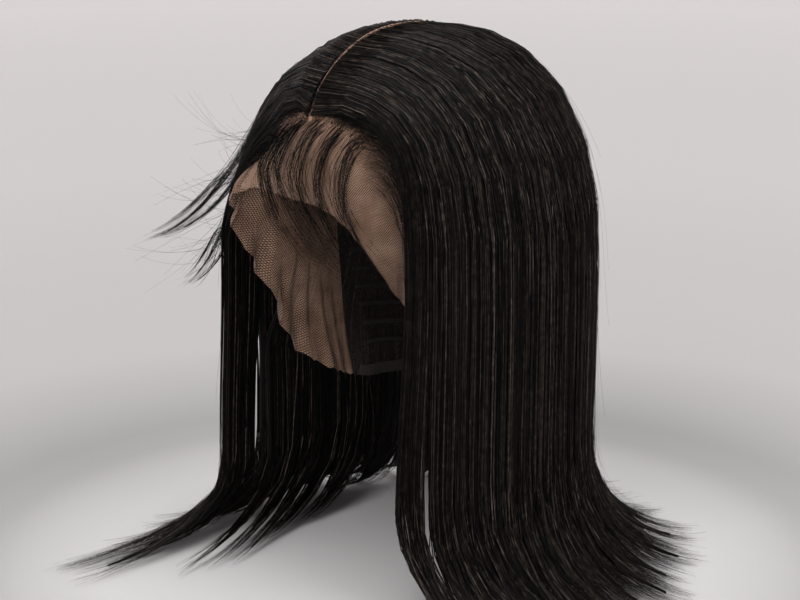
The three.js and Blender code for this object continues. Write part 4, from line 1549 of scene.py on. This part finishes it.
@dataclass
class LaceCap:
    """The lace front, the back net with its wefts and tapes, and the lace that shows in the parting."""

    seam_y: float = 14
    columns: int = 300
    rows: int = 74
    ruffle: float = 2.2
    cloth_radius: float = 84  # mm of cloth for each radian of bearing
    weft_pitch: float = 13
    weft_width: float = 3.2
    weft_span: tuple[tuple[float, ...], ...] = ((40, 110, 240), (66, 78, 66))  # depths, degrees to each side
    nape_tape: float = 8
    nape_half: float = 74  # degrees of bearing that the nape's elastic covers to each side
    tape_stations: int = 90
    parting_rise: float = 6.9  # how far the roots draw the lace up off the cap
    parting_half: float = 1.9
    knots_ahead: float = 14  # degrees of bearing by which the first knots lead the curtain's edge

    def net(self, name: str, keep: int) -> Piece:
        """One half of the cap as a single sheet: a grid of bearing and depth, cut at the ear-to-ear seam.

        Args:
            name: the piece's name.
            keep: -1 for the half at the face, 1 for the back.

        Returns:
            The sheet, with millimetres of cloth as its UV map.
        """
        bearing = np.linspace(-np.pi, np.pi, self.columns + 1)[None, :]
        v = np.linspace(0.06, 1, self.rows)[:, None]
        ragged = 1 + 0.006 * np.sin(np.degrees(bearing) * 0.83) * np.sin(np.degrees(bearing) * 2.1 + 1)
        edge = CAP.drop(bearing) * ragged
        grow = CAP.wall / 2
        z = grow - (grow + edge) * (1 - np.cos(v * np.pi / 2))
        points = CAP.point(np.broadcast_to(bearing, z.shape), z, grow, self.ruffle)
        step = np.linalg.norm(np.diff(points, axis=0), axis=-1)
        down = np.concatenate([np.zeros((1, step.shape[1])), np.cumsum(step, 0)])
        cloth = np.stack([np.broadcast_to(bearing * self.cloth_radius, z.shape), down], -1)
        faces = sheet_faces(self.rows, self.columns + 1)
        made = make_piece(name, points.reshape(-1, 3), faces)
        set_uv(made, "Cloth", corner_values(cloth.reshape(-1, 2), faces))
        grid = bmesh.new()
        grid.from_mesh(made.data)
        place = Vector((0, (self.seam_y + 0.3 * keep) * MM, 0))
        every = grid.verts[:] + grid.edges[:] + grid.faces[:]
        outwards = (0, -keep, 0)
        bmesh.ops.bisect_plane(
            grid, geom=every, dist=1e-7, plane_co=place, plane_no=outwards, clear_outer=True
        )
        bmesh.ops.remove_doubles(grid, verts=grid.verts[:], dist=1e-6)
        grid.to_mesh(made.data)
        grid.free()
        return made

    def strip(self, name: str, line: Array, out: Array, width: float, thick: float) -> Piece:
        """Flat closed tapes along lines: a rounded rectangle of 8 points carried along each.

        Args:
            name: the piece's name.
            line: n x stations x 3 points of the tapes' middles.
            out: the directions that they face.
            width: the tape's width.
            thick: its thickness.

        Returns:
            The piece.
        """
        ahead = unit(np.gradient(line, axis=1))
        across = unit(np.cross(out, ahead))
        half = [(1, 0.4), (0.85, 1), (-0.85, 1), (-1, 0.4)]
        section = np.array(half + [(-x, -y) for x, y in half])
        offset = section[:, 0, None] * across[:, :, None] * width / 2
        offset = offset + section[:, 1, None] * out[:, :, None] * thick / 2
        points = line[:, :, None] + offset
        faces = tube_faces(line.shape[0], line.shape[1], len(section), flip=False)
        made = make_piece(name, points.reshape(-1, 3), faces)
        steps = np.linalg.norm(np.diff(line, axis=1), axis=-1)
        far = np.concatenate([np.zeros((len(line), 1)), np.cumsum(steps, 1)], 1)
        flow = stack(section[:, 0] * width / 2, far[..., None])
        set_uv(made, "Flow", corner_values(flow.reshape(-1, 2), faces))
        return made

    def wefts(self) -> Piece:
        """Rows of machine-sewn hair round the back net, each a flat band at its own depth."""
        depth = np.arange(46, 236, self.weft_pitch)[:, None]
        bearing = round_back(np.radians(np.interp(depth, *self.weft_span)), 60)
        z = -depth + 0 * bearing
        wave = 0.6 * np.sin(bearing * 9 + depth)
        line = CAP.point(bearing, z + wave, -0.55)
        out = unit(line * [1, 1, 0.0001])
        return self.strip("weft_rows", line, out, self.weft_width, 1.0)

    def tapes(self) -> Piece:
        """The elastic band along the nape's edge and the tape over the ear-to-ear seam, just inside them."""
        bearing = round_back(np.radians(self.nape_half), self.tape_stations)
        nape = CAP.point(bearing, -CAP.drop(bearing) + self.nape_tape / 2, -0.7)
        turn = np.linspace(-1, 1, self.tape_stations)[None] * np.pi / 2
        level = np.sqrt(1 - (self.seam_y / CAP.back) ** 2)
        depth = CAP.crown * (1 - np.cos(turn) ** (2 / CAP.roundness))
        x = np.sin(np.abs(turn)) ** (2 / CAP.roundness) * CAP.half_width * level * np.sign(turn)
        arch = stack(x, self.seam_y, -depth - 1.4) * 0.988  # just inside the net
        out_nape = unit(nape * [1, 1, 0.0001])
        middle = np.array([0, self.seam_y, -CAP.crown])
        out_arch = unit((arch - middle) * [1, 0, 1])
        line = np.concatenate([nape, arch])
        out = np.concatenate([out_nape, out_arch])
        return self.strip("cap_tapes", line, out, self.nape_tape, 1.1)

    def parting(self) -> Piece:
        """Lace over the parting: a strip whose middle is drawn up to the roots, in a section exp(-x^4)."""
        long, wide = 110, 25
        y = np.linspace(HAIR.parting_start - 0.5, HAIR.parting_end + 3, long)[:, None]
        x = np.linspace(-6, 6, wide)[None, :] * (0.25 + 0.75 * smooth((y - HAIR.parting_start) / 16))
        ends = (0.25 + 0.75 * smooth((y - HAIR.parting_start) / 9)) * smooth((HAIR.parting_end + 3 - y) / 7)
        ends = ends * smooth((y - HAIR.parting_start + 0.5) / 2)
        height = 0.5 + self.parting_rise * np.exp(-((x / self.parting_half) ** 4)) * ends
        drop = x**2 / (2 * CAP.half_width)
        points = stack(x + 0 * y, y + 0 * x, CAP.top_at(y) + height - drop)
        faces = sheet_faces(long, wide)[:, [0, 3, 2, 1]]
        made = make_piece("parting_lace", points.reshape(-1, 3), faces)
        set_uv(made, "Cloth", corner_values(points.reshape(-1, 3)[:, :2], faces))
        return made

    def knots(self, name: str, in_parting: int, at_edge: int, seed: int) -> Piece:
        """The knots that tie each root to the lace: small octahedra in the parting and along the hairline.

        Args:
            name: the piece's name.
            in_parting: how many lie in the parting.
            at_edge: how many lie along each side's hairline.
            seed: seed of their places.

        Returns:
            The piece.
        """
        rng = np.random.default_rng(seed)
        y = rng.uniform(HAIR.parting_start, HAIR.parting_end, in_parting)
        x = rng.uniform(0.4, 1.5, in_parting) * rng.choice([-1, 1], in_parting)
        front = 0.25 + 0.75 * smooth((y - HAIR.parting_start) / 9)
        z = CAP.top_at(y) + 0.55 + self.parting_rise * front * np.exp(-((x / self.parting_half) ** 4))
        places = [stack(x, y, z)]
        for guides, side in ((LEFT_GUIDES, 1), (RIGHT_GUIDES, -1)):
            start = HAIR.hairline_run * rng.random(at_edge) ** 1.1
            edge = OuterSurface(guides, side).point(np.zeros(at_edge), start)
            ahead = np.radians(self.knots_ahead) * rng.random(at_edge) ** 1.4
            bearing = np.arctan2(edge[:, 0], -edge[:, 1]) - side * ahead
            z = edge[:, 2] - HAIR.hairline_under + rng.uniform(-3, 2, at_edge)
            places.append(CAP.point(bearing, z, CAP.wall + 0.3))
        middle = np.concatenate(places)
        size = rng.uniform(0.25, 0.48, len(middle))[:, None, None]
        corner = np.array([(1, 0, 0), (0, 1, 0), (-1, 0, 0), (0, -1, 0), (0, 0, 1), (0, 0, -1)], float)
        points = (middle[:, None] + corner[None] * size).reshape(-1, 3)
        ring = ((0, 1), (1, 2), (2, 3), (3, 0))
        one = np.array([(a, b, 4) for a, b in ring] + [(b, a, 5) for a, b in ring])
        faces = (one[None] + (np.arange(len(middle)) * 6)[:, None, None]).reshape(-1, 3)
        faces = np.concatenate([faces, np.full((len(faces), 1), -1)], 1)
        made = make_piece(name, points, faces)
        set_value(made, "tint", np.repeat(rng.random(len(middle)) * 0.6, 6))
        return made

    def build(self, hair: Finish) -> list[Piece]:
        """Builds the cap's pieces and dresses them.

        Args:
            hair: material of the knots.

        Returns:
            The pieces.
        """
        swiss = HexNet("swiss_lace", yarn="c6a48c", shade="977560", cell=1.1, thread=0.2, film=0.06)
        stretch = HexNet("stretch_net", yarn="2c221d", shade="1a1411", cell=2.8, thread=0.22, film=0.15)
        front = dress(self.net("lace_front_net", -1), swiss.make())
        back = dress(self.net("cap_back_net", 1), stretch.make())
        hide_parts("lace_front")
        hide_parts("cap_net")
        scalp = HexNet("parting_lace", yarn="b48e79", shade="8a6552", cell=1.6, thread=0.5, film=0.8)
        parting = dress(self.parting(), scalp.make())
        band = WovenTape("woven_elastic", "2a211d").make()
        weft = WovenTape("machine_weft", "17110f").make()
        tapes = dress(self.tapes(), band)
        wefts = dress(self.wefts(), weft)
        knots = dress(self.knots("root_knots", 300, 260, 71), hair)
        bleached = dress(self.knots("bleached_knots", 160, 420, 73), BleachedKnots().make())
        return [front, back, parting, tapes, wefts, knots, bleached]


# The studio


# Each lamp's bearing and height in degrees, distance and size in m, and power in W
LAMPS = {
    "key_light": (16, 46, 2.0, 0.9, 13),
    "fill_light": (100, 32, 2.2, 1.4, 11.5),
    "top_light": (43, 88, 3.2, 3.0, 72),
}


def towards(azimuth: float, elevation: float) -> Vector:
    """Direction from the object to a place on a bearing and height in degrees."""
    a, e = math.radians(azimuth), math.radians(elevation)
    return Vector((math.sin(a) * math.cos(e), -math.cos(a) * math.cos(e), math.sin(e)))


@dataclass
class Studio:
    """A pale seamless floor that curves up far off, soft light and the camera."""

    azimuth: float = 43
    elevation: float = 15
    distance: float = 1.5
    lens: float = 98.83
    target: tuple[float, float, float] = (0.0, 0.0, -0.18)
    right_of_target: float = 0.00205  # so that the target falls 3 pixels right of the middle
    under_target: float = 0.00137
    flat: float = 3.4  # m of flat floor round the object
    bend: float = 1.2  # m of radius where it turns up
    wall: float = 4.0  # m of height at its rim
    sky: str = "f2f2f4"
    sky_strength: float = 0.34

    def camera(self) -> Piece:
        """Places the camera on its bearing and height, looking just beside the target."""
        bearing = math.radians(self.azimuth)
        back = towards(self.azimuth, self.elevation)
        right = Vector((math.cos(bearing), math.sin(bearing), 0))
        up = back.cross(right)
        data = bpy.data.cameras.new("camera")
        data.lens, data.sensor_width = self.lens, 36
        data.clip_start, data.clip_end = 0.05, 50
        made = bpy.data.objects.new("camera", data)
        made.rotation_mode = "QUATERNION"
        made.rotation_quaternion = (-back).to_track_quat("-Z", "Y")
        aim = Vector(self.target) - right * self.right_of_target - up * self.under_target
        made.location = aim + back * self.distance
        bpy.context.scene.collection.objects.link(made)
        bpy.context.scene.camera = made
        return made

    def floor(self) -> Piece:
        """The seamless floor: a profile turned round the object, flat and then a quarter circle up a wall."""
        curve = np.radians(np.linspace(0, 90, 16))
        level = np.concatenate([[0.001], np.linspace(0.2, self.flat, 17)])
        bent = self.flat + self.bend * np.sin(curve[1:])
        radius = np.concatenate([level, bent, [self.flat + self.bend]])[:, None]
        height = np.concatenate([0 * level, self.bend * (1 - np.cos(curve[1:])), [self.wall]])[:, None]
        around = 96
        turn = np.linspace(0, 2 * np.pi, around + 1)[None, :-1]
        points = stack(np.cos(turn) * radius, np.sin(turn) * radius, height - HAIR.table_drop * MM)
        r, c = np.meshgrid(np.arange(len(radius) - 1), np.arange(around), indexing="ij")
        near, far, n = r * around, (r + 1) * around, (c + 1) % around
        faces = np.stack([near + c, far + c, far + n, near + n], -1).reshape(-1, 4)
        made = make_piece("studio_floor", points.reshape(-1, 3) / MM, faces)
        made.data.materials.append(StudioPaper().make())
        made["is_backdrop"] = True
        return made

    def lamp(
        self, name: str, azimuth: float, elevation: float, distance: float, size: float, power: float
    ) -> None:
        """Adds a square soft light on a bearing and height, facing the target."""
        back = towards(azimuth, elevation)
        data = bpy.data.lights.new(name, "AREA")
        data.size, data.energy = size, power
        made = bpy.data.objects.new(name, data)
        made.rotation_mode = "QUATERNION"
        made.rotation_quaternion = (-back).to_track_quat("-Z", "Y")
        made.location = Vector(self.target) + back * distance
        bpy.context.scene.collection.objects.link(made)

    def build(self) -> None:
        """Builds the floor, the lights, the sky and the camera."""
        self.camera()
        self.floor()
        for name, row in LAMPS.items():
            self.lamp(name, *row)
        world = bpy.data.worlds.new("studio")
        world.use_nodes = True
        light = world.node_tree.nodes["Background"].inputs
        light["Color"].default_value = linear(self.sky)
        light["Strength"].default_value = self.sky_strength
        bpy.context.scene.world = world
        bpy.context.scene.view_settings.view_transform = "Standard"


# All of it


LEFT_SLITS = (Slit(1 / 14, 0.005, 0.5, 0.9), Slit(2 / 14, 0.003, 0.56, 0.86))
RIGHT_SLITS = (Slit(2 / 14, 0.019, 0.47, 0.88), Slit(1 / 14, 0.006, 0.5, 0.84))

# The locks of the lower rows, as UnderHair.rows
LEFT_ROWS = (
    (0.25, 82, 0.78),
    (0.36, 82, 0.78),
    (0.47, 86, 0.86),
    (0.58, 94, 0.76),
    (0.69, 108, 0.82),
    (0.79, 124, 0.72),
    (0.89, 142, 0.78),
    (0.99, 162, 0.68),
)
RIGHT_ROWS = (
    (0.22, -14, 1.6),
    (0.31, -17, 1.45),
    (0.4, -19, 1.5),
    (0.5, -14, 1.2),
    (0.61, -8, 0.9),
    (0.73, 84, 0.6),
    (0.86, 122, 0.66),
    (0.99, 158, 0.68),
)


def main() -> None:
    """Builds the studio and each sub-assembly in order."""
    logging.basicConfig(level=logging.INFO, format="%(name)s %(message)s")
    Studio().build()
    strand_finish = HumanHair("black_hair_strands", HairForm.STRANDS).make()
    locks_finish = HumanHair("black_hair_locks", HairForm.LOCKS).make()
    LaceCap().build(strand_finish)
    sides = (
        OuterHair(Side.LEFT, LEFT_GUIDES, 3200, 200, seed=3, slits=LEFT_SLITS),
        OuterHair(Side.RIGHT, RIGHT_GUIDES, 2700, 184, seed=5, slits=RIGHT_SLITS),
        UnderHair(Side.LEFT, LEFT_GUIDES, LEFT_ROWS, 420, seed=7),
        UnderHair(Side.RIGHT, RIGHT_GUIDES, RIGHT_ROWS, 520, seed=9),
    )
    for hair in sides:
        hair.build(locks_finish, strand_finish)
    Hairline().build(strand_finish)
    BabyHair().build(strand_finish)
    TempleLocks().build(strand_finish)
    Strays().build(strand_finish)
    counts = [sum(len(face.vertices) - 2 for face in piece.data.polygons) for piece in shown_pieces()]
    log.info("triangles: %d in all, at most %d in a piece", sum(counts), max(counts))


if __name__ == "__main__":
    main()
